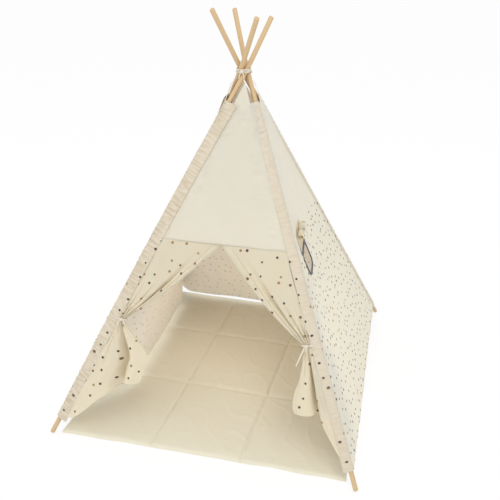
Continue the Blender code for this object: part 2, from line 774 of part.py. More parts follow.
def crown_lashing():
    points = lashing_points()
    print(f"least gap between the lashing's turns: {least_gap_between_turns(points) * 1000:.2f} mm")
    curve = rod_curve("crown_lashing", points, CORD_DIAMETER / 2, CORD_BEVEL_RESOLUTION)
    return add_object("crown_lashing", curve, CREAM_CORD)


def crown_knot():
    """The lashing's knot at the front, with its two short ends."""
    points = lashing_points()
    before_front = (CORD_TURNS // 2) * 4 * CORD_CORNER_POINTS + 3 * CORD_CORNER_POINTS - 1
    seat = (points[before_front] + points[before_front + 1]) / 2
    seat.y -= CORD_DIAMETER / 2 + FIT_GAP + CROWN_KNOT_DIAMETER / 2
    size = Vector((1, 1, 1)) * CROWN_KNOT_DIAMETER
    knot = add_object("crown_knot", ball_mesh("crown_knot", size), CREAM_CORD, Matrix.Translation(seat))
    ends = []
    for side in (-1, 1):
        drop = Vector((side * CROWN_TAIL_LENGTH / 3, -CORD_DIAMETER, -CROWN_TAIL_LENGTH))
        curve = rod_curve("knot_end", [seat, seat + drop], CORD_DIAMETER / 2, CORD_BEVEL_RESOLUTION)
        end = add_object(f"knot_end_{side}", curve, CREAM_CORD)
        ends.append(as_mesh(end))
    return join_solids(knot, ends)


def floor_mat():
    """The quilted mat: a grid of pads with a sewn channel between them, flat underneath."""
    cells = MAT_PADS * MAT_CELLS_PER_PAD
    mesh = bpy.data.meshes.new("floor_mat")
    work = bmesh.new()
    bmesh.ops.create_grid(work, x_segments=cells, y_segments=cells, size=1)
    raised = bmesh.ops.extrude_face_region(work, geom=list(work.faces))
    top = {item for item in raised["geom"] if isinstance(item, bmesh.types.BMVert)}

    def pad(share):
        inside = share * MAT_PADS % 1
        return 1 - abs(2 * inside - 1) ** 4

    for vertex in work.verts:
        along_x, along_y = vertex.co.x, vertex.co.y
        filled = pad((along_x + 1) / 2) * pad((along_y + 1) / 2)
        drawn_x = MAT_DRAW_IN * pad((along_y + 1) / 2)
        drawn_y = MAT_DRAW_IN * pad((along_x + 1) / 2)
        corner = MAT_CORNER_EASE if abs(along_x) == abs(along_y) == 1 else 0
        x = along_x * (MAT_WIDTH / 2 - drawn_x - corner)
        y = along_y * (MAT_LENGTH / 2 - drawn_y - corner) + MAT_SHIFT_Y
        height = MAT_EDGE_THICKNESS + (MAT_PAD_THICKNESS - MAT_EDGE_THICKNESS) * filled
        vertex.co = (x, y, height if vertex in top else 0)
    bmesh.ops.recalc_face_normals(work, faces=work.faces)
    under = [face for face in work.faces if all(v not in top for v in face.verts)]
    bmesh.ops.dissolve_faces(work, faces=under)
    work.to_mesh(mesh)
    work.free()
    return add_object("floor_mat", mesh, QUILTED_COTTON)


def build():
    floor_mat()
    crown = add_pivot("crown_pivot", (CROWN_DRIFT_X, CROWN_DRIFT_Y, CROSSING_HEIGHT))
    right_lower = lower_panel("right", [column / RIGHT_COLUMNS for column in range(RIGHT_COLUMNS + 1)], 8)
    cut(right_lower, window_cutter())
    right_upper = upper_panel("right")
    cut(right_upper, bpy.data.objects["window_cutter"])
    back_lower = lower_panel("back", BACK_COLUMN_SHARES, 6)
    canopy = [right_lower, right_upper, back_lower, lower_panel("left", LEFT_COLUMN_SHARES, 8)]
    canopy += [upper_panel(name) for name in ("front", "back", "left")]
    canopy += [door_drape(side) for side in ("left", "right")]
    canopy += [door_tie(side) for side in ("left", "right")]
    canopy += [window_binding(), window_strap(), curtain_header(), crown_lashing(), crown_knot()]
    carry(crown, canopy)
    for corner in CORNERS:
        hinge = add_pivot(f"{corner}_pole_pivot", crossing(corner))
        carry(hinge, [lower_pole(corner), upper_pole(corner), ferrule(corner), sleeve(corner)], crown)
    for side in ("left", "right"):
        flap = Flap(side)
        hinge = add_pivot(f"{side}_tail_pivot", flap.place(0, NECK_HEIGHT))
        carry(hinge, [door_tail(side)], bpy.data.objects[f"front_{side}_pole_pivot"])
    slide = add_pivot("curtain_pivot", roll_place().translation)
    carry(slide, [curtain_roll(), curtain_tie()], bpy.data.objects["front_right_pole_pivot"])


build()
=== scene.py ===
"""Kids' play teepee: cotton canopy on four lashed poles, tied-back door, small window and quilted mat."""
import math

import bmesh
import bpy
from bpy.props import FloatProperty, FloatVectorProperty, IntProperty, PointerProperty
from mathutils import Matrix, Vector, noise


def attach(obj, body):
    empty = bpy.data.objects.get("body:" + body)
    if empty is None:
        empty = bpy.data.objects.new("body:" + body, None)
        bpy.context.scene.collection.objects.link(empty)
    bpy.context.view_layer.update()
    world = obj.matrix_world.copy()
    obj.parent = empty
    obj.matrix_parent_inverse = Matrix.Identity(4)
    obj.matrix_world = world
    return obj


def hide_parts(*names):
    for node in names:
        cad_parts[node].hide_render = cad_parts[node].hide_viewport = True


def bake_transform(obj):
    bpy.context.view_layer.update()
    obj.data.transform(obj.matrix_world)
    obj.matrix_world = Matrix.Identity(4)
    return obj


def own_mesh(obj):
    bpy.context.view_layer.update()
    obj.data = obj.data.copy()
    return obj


bl_info = {
    "name": "Kids' Play Teepee",
    "version": (1, 0, 0),
    "blender": (4, 5, 0),
    "location": "View3D > Sidebar > Teepee",
    "description": "Dresses a play teepee: canopy, door flaps, window, poles, lashing and floor mat",
    "category": "Object",
}

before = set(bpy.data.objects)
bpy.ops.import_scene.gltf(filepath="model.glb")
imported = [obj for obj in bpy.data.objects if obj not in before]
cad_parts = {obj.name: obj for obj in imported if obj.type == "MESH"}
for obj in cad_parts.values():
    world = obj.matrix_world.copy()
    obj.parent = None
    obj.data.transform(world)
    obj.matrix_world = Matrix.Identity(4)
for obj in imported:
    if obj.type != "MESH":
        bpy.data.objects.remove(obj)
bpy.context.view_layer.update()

# The pole frame, as the solids have it
FOOT_HALF_SPACING = 0.600
CROSSING_HEIGHT = 1.324
CROWN_DRIFT = (0.020, 0.026)
POLE_LENGTH = 1.800
POLE_RADIUS = 0.009
LOWER_POLE_LENGTH = 0.900
SPRING_RUN = 0.060
TOP_SPRING = {
    "front_left": (-0.055, -0.049),
    "front_right": (0.023, 0.115),
    "back_right": (0.033, 0.063),
    "back_left": (-0.033, -0.114),
}
CORNERS = {"front_left": (-1, -1), "front_right": (1, -1), "back_right": (1, 1), "back_left": (-1, 1)}
WALLS = {
    "front": ("front_left", "front_right"),
    "right": ("front_right", "back_right"),
    "back": ("back_right", "back_left"),
    "left": ("back_left", "front_left"),
}
LEAN = math.atan(math.sqrt(2) * FOOT_HALF_SPACING / CROSSING_HEIGHT)
CROSSED_POLE_DISTANCE = 0.0192
CROSSING_OFFSET = CROSSED_POLE_DISTANCE * math.sqrt(1 + math.cos(LEAN) ** 2) / (2 * math.cos(LEAN))
CLOTH_OFFSET = 0.0147
SEAM_HEIGHT = 0.745
HEM_HEIGHT = 0.075
SHOULDER_HEIGHT = 1.215
TIP_HEIGHT = 1.280
NECK_HEIGHT = 0.451
FLAP_REACH = 0.022
# How a side hangs slack: depth, shares of its width over which that eases in, and how far it sags
SIDE_SLACK = {"left": (0.190, (0.18, 0.30), 0.035), "back": (0.085, (0.30, 0.17), 0.040)}
TAUT = (0.0, (0.30, 0.30), 0.0)
RIGHT_BILLOW = 0.018
FRONT_LEFT_STAND_OFF = 0.008


def ramp(x):
    x = min(max(x, 0.0), 1.0)
    return x * x * (3 - 2 * x)


def mix(a, b, share):
    return a + (b - a) * share


def bell(x, centre, width):
    return math.exp(-(((x - centre) / width) ** 2))


def ripple(x, y, seed):
    """Smooth irregular wave between about -1 and 1."""
    return noise.noise(Vector((x, y, seed))) * 1.6


def radial(corner):
    return Vector((*CORNERS[corner], 0)).normalized()


def tangent(corner):
    out = radial(corner)
    return Vector((-out.y, out.x, 0))


def floor_point(corner):
    return Vector((*CORNERS[corner], 0)) * FOOT_HALF_SPACING


def crossing(corner):
    return Vector((*CROWN_DRIFT, CROSSING_HEIGHT)) + tangent(corner) * CROSSING_OFFSET


def pole_direction(corner):
    return (crossing(corner) - floor_point(corner)).normalized()


def pole_point(corner, along):
    line = floor_point(corner) + pole_direction(corner) * along
    above = along - (crossing(corner) - floor_point(corner)).length
    if above <= 0:
        return line
    reach = above * above / (2 * SPRING_RUN) if above < SPRING_RUN else above - SPRING_RUN / 2
    return line + Vector((*TOP_SPRING[corner], 0)) * reach


def at_height(corner, height):
    direction = pole_direction(corner)
    return floor_point(corner) + direction * (height / direction.z)


def foot_start(corner):
    upright = pole_direction(corner).z
    return POLE_RADIUS * math.sqrt(1 - upright * upright) / upright


def catmull(rows, share):
    """Smooth curve through rows whose first value is the share along."""
    last = len(rows) - 1
    index = next((i for i in range(last) if share <= rows[i + 1][0]), last - 1)
    before, start = rows[max(index - 1, 0)], rows[index]
    end, after = rows[index + 1], rows[min(index + 2, last)]
    t = (share - start[0]) / (end[0] - start[0])
    values = []
    for a, b, c, d in zip(before[1:], start[1:], end[1:], after[1:]):
        values.append(b + t / 2 * (c - a + t * (2 * a - 5 * b + 4 * c - d + t * (3 * (b - c) + d - a))))
    return values


class Wall:
    """One side of the canopy, tangent to its two sleeves, slack where the real one hangs slack."""

    def __init__(self, name):
        self.name = name
        self.first, self.second = WALLS[name]
        base = floor_point(self.second) - floor_point(self.first)
        rise = (crossing(self.first) + crossing(self.second)) / 2
        rise -= (floor_point(self.first) + floor_point(self.second)) / 2
        self.across = base.normalized()
        self.outward = base.cross(rise).normalized()
        self.inward = -Vector((self.outward.x, self.outward.y, 0)).normalized()
        self.bulge, self.eases, self.drop = SIDE_SLACK.get(name, TAUT)
        self.billow = RIGHT_BILLOW if name == "right" else 0.0

    def edge(self, corner, height):
        level = at_height(self.second, height) - at_height(self.first, height)
        return at_height(corner, height) + level.cross(pole_direction(corner)).normalized() * CLOTH_OFFSET

    def width(self, height):
        return (self.edge(self.second, height) - self.edge(self.first, height)).length

    def point(self, share, height):
        taut = self.edge(self.first, height).lerp(self.edge(self.second, height), share)
        spread = ramp((share - 0.02) / (self.eases[0] - 0.02)) * ramp((0.98 - share) / (self.eases[1] - 0.02))
        below = min(max((SEAM_HEIGHT - height) / (SEAM_HEIGHT - HEM_HEIGHT), 0.0), 1.0)
        rise = min(max((height - HEM_HEIGHT) / (SHOULDER_HEIGHT - HEM_HEIGHT), 0.0), 1.0)
        slack = self.bulge * below * spread
        slack += self.billow * math.sin(math.pi * share) ** 2 * math.sin(math.pi * rise)
        return taut + self.inward * slack - Vector((0, 0, self.drop * below * spread))

    def cloth(self, share, height):
        """The same side with its wrinkles, its tucked edges, its hem and its seam."""
        width = self.width(height)
        near = min(share, 1 - share) * width
        corner = self.first if share < 0.5 else self.second
        out = -0.0019 * max(0.0, 1 - near / 0.022) ** 2
        out += sleeve_slack(self, corner, height) * ramp(1 - near / 0.045)
        gathers = math.sin(height * 230 + 3 * ripple(height * 14, share * 3, 4.0))
        out += 0.0014 * gathers * bell(near, 0.055, 0.020) * ramp((near - 0.036) / 0.012)
        loose = ramp((near - 0.034) / 0.05)
        out += loose * 0.0040 * ripple(share * width * 5.0, height * 3.2, 11.0 + len(self.name))
        out += loose * 0.0017 * ripple(share * width * 14.0 + height * 4, height * 9.0, 23.0)
        from_hem = (height - HEM_HEIGHT) / self.outward_slope()
        out += 0.0007 * ramp((0.016 - from_hem) / 0.002) - 0.0009 * bell(from_hem, 0.0165, 0.0022)
        from_seam = (height - SEAM_HEIGHT) / self.outward_slope()
        out += 0.0004 * ramp((from_seam + 0.010) / 0.003) * ramp((0.002 - from_seam) / 0.003)
        return self.point(share, height) + self.outward * out

    def outward_slope(self):
        """Rise of the cloth for each metre along it."""
        return math.hypot(self.outward.x, self.outward.y)


def sleeve_slack(wall, corner, height):
    """How far the front-left sleeve stands off its pole, most of all half way up, on the left side."""
    if wall.name != "left" or not corner.startswith("front"):
        return 0.0
    rise = min(max((height - HEM_HEIGHT) / (SHOULDER_HEIGHT - HEM_HEIGHT), 0.0), 1.0)
    return FRONT_LEFT_STAND_OFF * math.sin(math.pi * rise) ** 0.8


# Objects and meshes


def deselect():
    for shown in bpy.context.selected_objects:
        shown.select_set(False)


def make_active(piece):
    deselect()
    piece.select_set(True)
    bpy.context.view_layer.objects.active = piece


def apply_modifiers(piece):
    make_active(piece)
    for modifier in list(piece.modifiers):
        bpy.ops.object.modifier_apply(modifier=modifier.name)


def link_mesh(name, mesh, materials):
    piece = bpy.data.objects.new(name, mesh)
    bpy.context.scene.collection.objects.link(piece)
    for material in materials:
        mesh.materials.append(material)
    mesh.shade_smooth()
    return piece


def cloth_sheet(name, columns, rows, place, flat, materials, thickness, material_at=None):
    """A sheet of cloth: place(u, v) is where it hangs and flat(u, v) is where it lay when cut, in metres."""
    mesh = bpy.data.meshes.new(name)
    work = bmesh.new()
    bmesh.ops.create_grid(work, x_segments=columns, y_segments=rows, size=1)
    pattern = work.loops.layers.uv.new("cut")
    for vertex in work.verts:
        vertex.co.x = round((vertex.co.x + 1) / 2 * columns) / columns
        vertex.co.y = round((vertex.co.y + 1) / 2 * rows) / rows
    for face in work.faces:
        for corner in face.loops:
            corner[pattern].uv = flat(corner.vert.co.x, corner.vert.co.y)
        if material_at:
            face.material_index = material_at(*face.calc_center_median().xy)
    for vertex in work.verts:
        vertex.co = place(vertex.co.x, vertex.co.y)
    work.to_mesh(mesh)
    work.free()
    piece = link_mesh(name, mesh, materials)
    wall = piece.modifiers.new("thickness", "SOLIDIFY")
    wall.thickness = thickness
    wall.offset = 0
    wall.material_offset = len(materials) // 2
    apply_modifiers(piece)
    return piece


def lofted_tube(name, rings, uv_of, materials, closed_ends=False):
    """A tube through rings of points, with a UV map in metres."""
    mesh = bpy.data.meshes.new(name)
    work = bmesh.new()
    pattern = work.loops.layers.uv.new("cut")
    rows = [[work.verts.new(point) for point in ring] for ring in rings]
    count = len(rings[0])
    for row in range(len(rows) - 1):
        for side in range(count):
            after = (side + 1) % count
            face = work.faces.new(
                (rows[row][side], rows[row][after], rows[row + 1][after], rows[row + 1][side])
            )
            places = ((row, side), (row, side + 1), (row + 1, side + 1), (row + 1, side))
            for corner, (along, around) in zip(face.loops, places):
                corner[pattern].uv = uv_of(along / (len(rows) - 1), around / count)
    if closed_ends:
        work.faces.new(list(reversed(rows[0])))
        work.faces.new(rows[-1])
    bmesh.ops.recalc_face_normals(work, faces=work.faces)
    work.to_mesh(mesh)
    work.free()
    return link_mesh(name, mesh, materials)


def cord_rings(points, radius, sides, strands=3, lay=0.020):
    """Rings of a twisted cord along a route, its strands turning once in each lay length."""
    rings = []
    travelled = 0.0
    across = None
    for index, point in enumerate(points):
        before = points[max(index - 1, 0)]
        after = points[min(index + 1, len(points) - 1)]
        heading = (after - before).normalized()
        across = heading.orthogonal() if across is None else across
        across = (across - heading * across.dot(heading)).normalized()
        side = heading.cross(across)
        if index:
            travelled += (point - points[index - 1]).length
        ring = []
        for step in range(sides):
            angle = 2 * math.pi * step / sides
            bulge = 1 + 0.13 * math.cos(strands * (angle - 2 * math.pi * travelled / lay))
            ring.append(point + (across * math.cos(angle) + side * math.sin(angle)) * radius * bulge)
        rings.append(ring)
    return rings


def refine(points, spacing):
    """A smooth denser route through points."""
    dense = [points[0]]
    for index in range(len(points) - 1):
        p0, p1 = points[max(index - 1, 0)], points[index]
        p2, p3 = points[index + 1], points[min(index + 2, len(points) - 1)]
        steps = max(1, round((p2 - p1).length / spacing))
        for step in range(1, steps + 1):
            t = step / steps
            spot = (p1 * 2 + (p2 - p0) * t + (p0 * 2 - p1 * 5 + p2 * 4 - p3) * t * t) / 2
            spot += ((p1 - p2) * 3 + p3 - p0) * t * t * t / 2
            dense.append(spot)
    return dense


def route_length(route):
    return sum((b - a).length for a, b in zip(route, route[1:]))


def twisted_cord(name, points, radius, material, sides=14):
    route = refine(points, radius * 0.8)
    length = route_length(route)
    rings = cord_rings(route, radius, sides)
    girth = 2 * math.pi * radius
    return lofted_tube(name, rings, lambda along, around: (around * girth, along * length), [material], True)


def join_pieces(name, pieces):
    make_active(pieces[0])
    for piece in pieces:
        piece.select_set(True)
    bpy.ops.object.join()
    joined = bpy.context.view_layer.objects.active
    joined.name = name
    return joined


def squash_to_pole(piece, wall, corner, reach=0.0):
    """Gives the piece a mesh of its own; the place beside the pole that it works out is not used."""
    along = pole_direction(corner)
    across = (wall.across - along * wall.across.dot(along)).normalized()
    anchor = at_height(corner, SEAM_HEIGHT) + across * (reach if corner == wall.first else -reach)
    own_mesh(piece)


# Settings


class TeepeeCloth(bpy.types.PropertyGroup):
    thickness: FloatProperty(
        name="Cloth thickness", description="Thickness of the cotton", default=0.0011, min=0.0004,
        max=0.003, unit="LENGTH"
    )
    ivory: FloatVectorProperty(
        name="Ivory", description="Colour of the plain cotton", default=(0.830, 0.757, 0.605), size=3,
        subtype="COLOR"
    )
    large_dot: FloatProperty(
        name="Large dot", description="Diameter of the dots on the door side", default=0.0105, unit="LENGTH"
    )
    large_spacing: FloatProperty(
        name="Large dot spacing", description="Distance between dots on the door side", default=0.052,
        unit="LENGTH"
    )
    small_dot: FloatProperty(
        name="Small dot", description="Diameter of the dots on the other sides", default=0.0105, unit="LENGTH"
    )
    small_spacing: FloatProperty(
        name="Small dot spacing", description="Distance between dots on the other sides", default=0.040,
        unit="LENGTH"
    )


class TeepeeTimber(bpy.types.PropertyGroup):
    pine: FloatVectorProperty(
        name="Pine", description="Colour of the bare wood", default=(0.670, 0.485, 0.275), size=3,
        subtype="COLOR"
    )
    end_rounding: FloatProperty(
        name="End rounding", description="Rounding of the poles' ends", default=0.0028, min=0.0, max=0.008,
        unit="LENGTH"
    )


class TeepeeMat(bpy.types.PropertyGroup):
    cotton: FloatVectorProperty(
        name="Mat cotton", description="Colour of the quilted mat", default=(0.830, 0.795, 0.655), size=3,
        subtype="COLOR"
    )
    crown: FloatProperty(
        name="Pad height", description="Height of the pads' middles", default=0.0125, min=0.006, max=0.03,
        unit="LENGTH"
    )
    cells: IntProperty(
        name="Mesh cells", description="Cells along each side of the mat", default=220, min=60, max=300
    )


class TeepeeStage(bpy.types.PropertyGroup):
    key: FloatProperty(name="Key light", description="Power of the large soft lamp", default=45.0, min=0.0)
    fill: FloatProperty(
        name="Fill light", description="Power of the lamp on the other side", default=16.0, min=0.0
    )
    glow: FloatProperty(
        name="Glow", description="Power of the soft light inside the canopy", default=0.85, min=0.0
    )
    sky: FloatProperty(
        name="Sky", description="Strength of the even light from all round", default=0.87, min=0.0
    )


# Materials


def new_group(name, inputs, outputs):
    group = bpy.data.node_groups.new(name, "ShaderNodeTree")
    for label, kind, value in inputs:
        socket = group.interface.new_socket(label, in_out="INPUT", socket_type=kind)
        if value is not None:
            socket.default_value = value
    for label, kind in outputs:
        group.interface.new_socket(label, in_out="OUTPUT", socket_type=kind)
    start = group.nodes.new("NodeGroupInput")
    end = group.nodes.new("NodeGroupOutput")
    return group, start, end


def math_node(tree, operation, first, second=None, third=None):
    node = tree.nodes.new("ShaderNodeMath")
    node.operation = operation
    for socket, value in zip(node.inputs, (first, second, third)):
        if value is None:
            continue
        if hasattr(value, "is_linked"):
            tree.links.new(value, socket)
        else:
            socket.default_value = value
    return node.outputs[0]


def mix_colour(tree, factor, first, second):
    node = tree.nodes.new("ShaderNodeMix")
    node.data_type = "RGBA"
    for socket, value in ((node.inputs[0], factor), (node.inputs[6], first), (node.inputs[7], second)):
        if hasattr(value, "is_linked"):
            tree.links.new(value, socket)
        elif isinstance(value, (int, float)):
            socket.default_value = value
        else:
            socket.default_value = (*value, 1.0)
    return node.outputs[2]


def cut_map(tree):
    """Where each point lay on the cloth, timber or cord when it was cut, in metres."""
    node = tree.nodes.new("ShaderNodeUVMap")
    node.uv_map = "cut"
    return node.outputs["UV"]


def tinted(colour, shares):
    return tuple(c * share for c, share in zip(colour, shares))


def noise_node(tree, vector, scale, detail=3.0, roughness=0.5):
    node = tree.nodes.new("ShaderNodeTexNoise")
    node.inputs["Scale"].default_value = scale
    node.inputs["Detail"].default_value = detail
    node.inputs["Roughness"].default_value = roughness
    if vector is not None:
        tree.links.new(vector, node.inputs["Vector"])
    return node


def weave_group():
    """Plain cotton weave: crossed threads with slubs, as a height and a soft tint."""
    group, start, end = new_group(
        "cotton_weave",
        [
            ("Vector", "NodeSocketVector", None), ("Threads", "NodeSocketFloat", 900.0),
            ("Slubs", "NodeSocketFloat", 0.5)
        ],
        [("Height", "NodeSocketFloat"), ("Tint", "NodeSocketFloat")],
    )
    heights = []
    for direction in ("X", "Y"):
        wave = group.nodes.new("ShaderNodeTexWave")
        wave.wave_type = "BANDS"
        wave.bands_direction = direction
        wave.inputs["Distortion"].default_value = 1.2
        wave.inputs["Detail"].default_value = 1.0
        wave.inputs["Detail Scale"].default_value = 0.6
        group.links.new(start.outputs["Vector"], wave.inputs["Vector"])
        group.links.new(start.outputs["Threads"], wave.inputs["Scale"])
        heights.append(wave.outputs["Fac"])
    stretch = group.nodes.new("ShaderNodeMapping")
    stretch.inputs["Scale"].default_value = (1.0, 0.09, 1.0)
    group.links.new(start.outputs["Vector"], stretch.inputs["Vector"])
    slub = noise_node(group, stretch.outputs[0], 420.0, 2.0)
    threads = math_node(group, "MULTIPLY", heights[0], heights[1])
    thick = math_node(group, "MULTIPLY", slub.outputs["Fac"], start.outputs["Slubs"])
    group.links.new(math_node(group, "ADD", threads, thick), end.inputs["Height"])
    cloud = noise_node(group, start.outputs["Vector"], 9.0, 4.0, 0.6)
    soft = math_node(group, "MULTIPLY_ADD", slub.outputs["Fac"], 0.35, 0.0)
    group.links.new(math_node(group, "MULTIPLY_ADD", cloud.outputs["Fac"], 0.65, soft), end.inputs["Tint"])
    return group


def dots_group():
    """Scattered printed dots: one in each cell, each moved and toned at random."""
    group, start, end = new_group(
        "printed_dots",
        [
            ("Vector", "NodeSocketVector", None),
            ("Spacing", "NodeSocketFloat", 0.05),
            ("Diameter", "NodeSocketFloat", 0.01),
            ("Scatter", "NodeSocketFloat", 0.7),
        ],
        [("Mask", "NodeSocketFloat"), ("Tone", "NodeSocketFloat")],
    )
    cells = group.nodes.new("ShaderNodeTexVoronoi")
    cells.voronoi_dimensions = "2D"
    cells.feature = "F1"
    group.links.new(start.outputs["Vector"], cells.inputs["Vector"])
    group.links.new(math_node(group, "DIVIDE", 1.0, start.outputs["Spacing"]), cells.inputs["Scale"])
    group.links.new(start.outputs["Scatter"], cells.inputs["Randomness"])
    tone = group.nodes.new("ShaderNodeSeparateColor")
    group.links.new(cells.outputs["Color"], tone.inputs["Color"])
    spread = math_node(group, "MULTIPLY_ADD", tone.outputs["Green"], 0.30, 0.85)
    radius = math_node(group, "DIVIDE", start.outputs["Diameter"], start.outputs["Spacing"])
    radius = math_node(group, "MULTIPLY", math_node(group, "MULTIPLY", radius, 0.5), spread)
    inside = math_node(group, "SUBTRACT", radius, cells.outputs["Distance"])
    mask = math_node(group, "DIVIDE", inside, math_node(group, "MULTIPLY", radius, 0.22))
    mask_node = group.nodes.new("ShaderNodeClamp")
    group.links.new(mask, mask_node.inputs["Value"])
    group.links.new(mask_node.outputs[0], end.inputs["Mask"])
    group.links.new(tone.outputs["Red"], end.inputs["Tone"])
    return group


def wrinkle_group():
    """Soft creases left by folding and wear, as a height."""
    group, start, end = new_group(
        "soft_creases",
        [("Vector", "NodeSocketVector", None), ("Scale", "NodeSocketFloat", 9.0)],
        [("Height", "NodeSocketFloat")],
    )
    broad = noise_node(group, start.outputs["Vector"], 9.0, 3.0, 0.55)
    group.links.new(start.outputs["Scale"], broad.inputs["Scale"])
    bent = math_node(group, "ABSOLUTE", math_node(group, "SUBTRACT", broad.outputs["Fac"], 0.5))
    fine = noise_node(group, start.outputs["Vector"], 60.0, 3.0, 0.6)
    total = math_node(group, "MULTIPLY_ADD", fine.outputs["Fac"], 0.14, bent)
    group.links.new(total, end.inputs["Height"])
    return group


def gather_group():
    """Small folds that run aslant across a gathered sleeve: 1 in their valleys, 0 on their crests. It sets
    where shade is painted into the valleys and how deep they are.
    """
    group, start, end = new_group(
        "small_gathers",
        [("Vector", "NodeSocketVector", None)],
        [("Valleys", "NodeSocketFloat")],
    )
    turned = group.nodes.new("ShaderNodeMapping")
    turned.inputs["Rotation"].default_value = (0.0, 0.0, -0.38)
    turned.inputs["Scale"].default_value = (0.20, 1.0, 1.0)
    group.links.new(start.outputs["Vector"], turned.inputs["Vector"])
    folds = noise_node(group, turned.outputs[0], 115.0, 1.5, 0.45)
    calm = noise_node(group, start.outputs["Vector"], 9.0, 1.0)
    sharp = group.nodes.new("ShaderNodeMapRange")
    sharp.interpolation_type = "SMOOTHSTEP"
    sharp.inputs["From Min"].default_value = 0.36
    sharp.inputs["From Max"].default_value = 0.66
    group.links.new(folds.outputs["Fac"], sharp.inputs["Value"])
    strength = math_node(group, "MULTIPLY_ADD", calm.outputs["Fac"], 1.6, -0.05)
    group.links.new(math_node(group, "MULTIPLY", sharp.outputs[0], strength), end.inputs["Valleys"])
    return group


def grain_group():
    """Straight pine grain along V: fine streaks, broad rings and a few darker flecks."""
    group, start, end = new_group(
        "pine_grain",
        [("Vector", "NodeSocketVector", None)],
        [("Streaks", "NodeSocketFloat"), ("Bands", "NodeSocketFloat"), ("Flecks", "NodeSocketFloat")],
    )
    outs = []
    for scale, ratio, detail in ((260.0, 0.020, 4.0), (55.0, 0.030, 3.0), (520.0, 0.060, 2.0)):
        stretch = group.nodes.new("ShaderNodeMapping")
        stretch.inputs["Scale"].default_value = (1.0, ratio, 1.0)
        group.links.new(start.outputs["Vector"], stretch.inputs["Vector"])
        outs.append(noise_node(group, stretch.outputs[0], scale, detail).outputs["Fac"])
    for value, name in zip(outs, ("Streaks", "Bands", "Flecks")):
        group.links.new(value, end.inputs[name])
    return group


GROUPS = {}


def use_group(tree, key, maker, **values):
    if key not in GROUPS:
        GROUPS[key] = maker()
    node = tree.nodes.new("ShaderNodeGroup")
    node.node_tree = GROUPS[key]
    for label, value in values.items():
        socket = node.inputs[label]
        if hasattr(value, "is_linked"):
            tree.links.new(value, socket)
        else:
            socket.default_value = value
    return node


def new_material(name, roughness, sheen=0.0):
    material = bpy.data.materials.new(name)
    material.use_nodes = True
    tree = material.node_tree
    shader = tree.nodes["Principled BSDF"]
    shader.inputs["Roughness"].default_value = roughness
    if sheen:
        shader.inputs["Sheen Weight"].default_value = sheen
        shader.inputs["Sheen Roughness"].default_value = 0.55
    return material, tree, shader


def set_bump(tree, shader, height, strength, distance):
    bump = tree.nodes.new("ShaderNodeBump")
    bump.inputs["Strength"].default_value = strength
    bump.inputs["Distance"].default_value = distance
    tree.links.new(height, bump.inputs["Height"])
    tree.links.new(bump.outputs["Normal"], shader.inputs["Normal"])


# How far daylight spreads inside thin cotton, for red, green and blue
THIN_COTTON_SPREAD = (1.0, 0.93, 0.80)
THIN_COTTON_DEPTH = 0.0050
# Inks of the printed dots, each with the share of the tones that it starts at
DOOR_INKS = ((0.0, (0.075, 0.050, 0.036)), (0.42, (0.165, 0.100, 0.060)), (0.70, (0.340, 0.215, 0.100)))
SIDE_INKS = ((0.0, (0.080, 0.055, 0.040)), (0.45, (0.165, 0.110, 0.065)), (0.75, (0.320, 0.215, 0.110)))
# Dots that stand closer than this take the inks of the sides
CLOSE_SPACING = 0.045


def cotton(name, colour, dots=None, through=False, threads=900.0, crease=1.0, thin=True, gathers=0.0):
    """Cotton with weave and creases; dots is (spacing, diameter), through is the print's wrong side, gathers
    sets the shade painted into the gathers' valleys and their depth.
    """
    material, tree, shader = new_material(name, 0.92, 0.04)
    if thin:
        # Daylight comes through a single layer of thin cotton
        shader.inputs["Subsurface Weight"].default_value = 1.0
        shader.inputs["Subsurface Radius"].default_value = THIN_COTTON_SPREAD
        shader.inputs["Subsurface Scale"].default_value = THIN_COTTON_DEPTH
    vector = cut_map(tree)
    weave = use_group(tree, "weave", weave_group, Vector=vector, Threads=threads)
    warm = tinted(colour, (1.02, 0.985, 0.94))
    cool = tinted(colour, (0.985, 0.995, 1.0))
    base = mix_colour(tree, weave.outputs["Tint"], cool, warm)
    if gathers:
        small = use_group(tree, "gathers", gather_group, Vector=vector)
        # Painted shade: the cloth is darkened in the gathers' valleys, where shade falls
        painted_valley_shade = tinted(colour, (0.80, 0.73, 0.64))
        base = mix_colour(tree, math_node(tree, "MULTIPLY", small.outputs["Valleys"], gathers), base, painted_valley_shade)
    if dots:
        spacing, diameter = dots
        marks = use_group(
            tree, "dots", dots_group, Vector=vector, Spacing=spacing, Diameter=diameter, Scatter=0.78
        )
        inks = tree.nodes.new("ShaderNodeValToRGB")
        inks.color_ramp.interpolation = "CONSTANT"
        for index, (place, ink) in enumerate(SIDE_INKS if spacing < CLOSE_SPACING else DOOR_INKS):
            if through:
                ink = tuple(mix(i, c * 0.80, 0.86) for i, c in zip(ink, colour))
            if index > 1:
                inks.color_ramp.elements.new(place)
            inks.color_ramp.elements[index].position = place
            inks.color_ramp.elements[index].color = (*ink, 1.0)
        tree.links.new(marks.outputs["Tone"], inks.inputs["Fac"])
        base = mix_colour(tree, marks.outputs["Mask"], base, inks.outputs["Color"])
    tree.links.new(base, shader.inputs["Base Color"])
    folds = use_group(tree, "creases", wrinkle_group, Vector=vector, Scale=8.0)
    height = math_node(tree, "MULTIPLY_ADD", folds.outputs["Height"], 14.0 * crease, weave.outputs["Height"])
    if gathers:
        height = math_node(tree, "MULTIPLY_ADD", small.outputs["Valleys"], -5.0 * gathers, height)
    set_bump(tree, shader, height, 0.35, 0.0009)
    return material


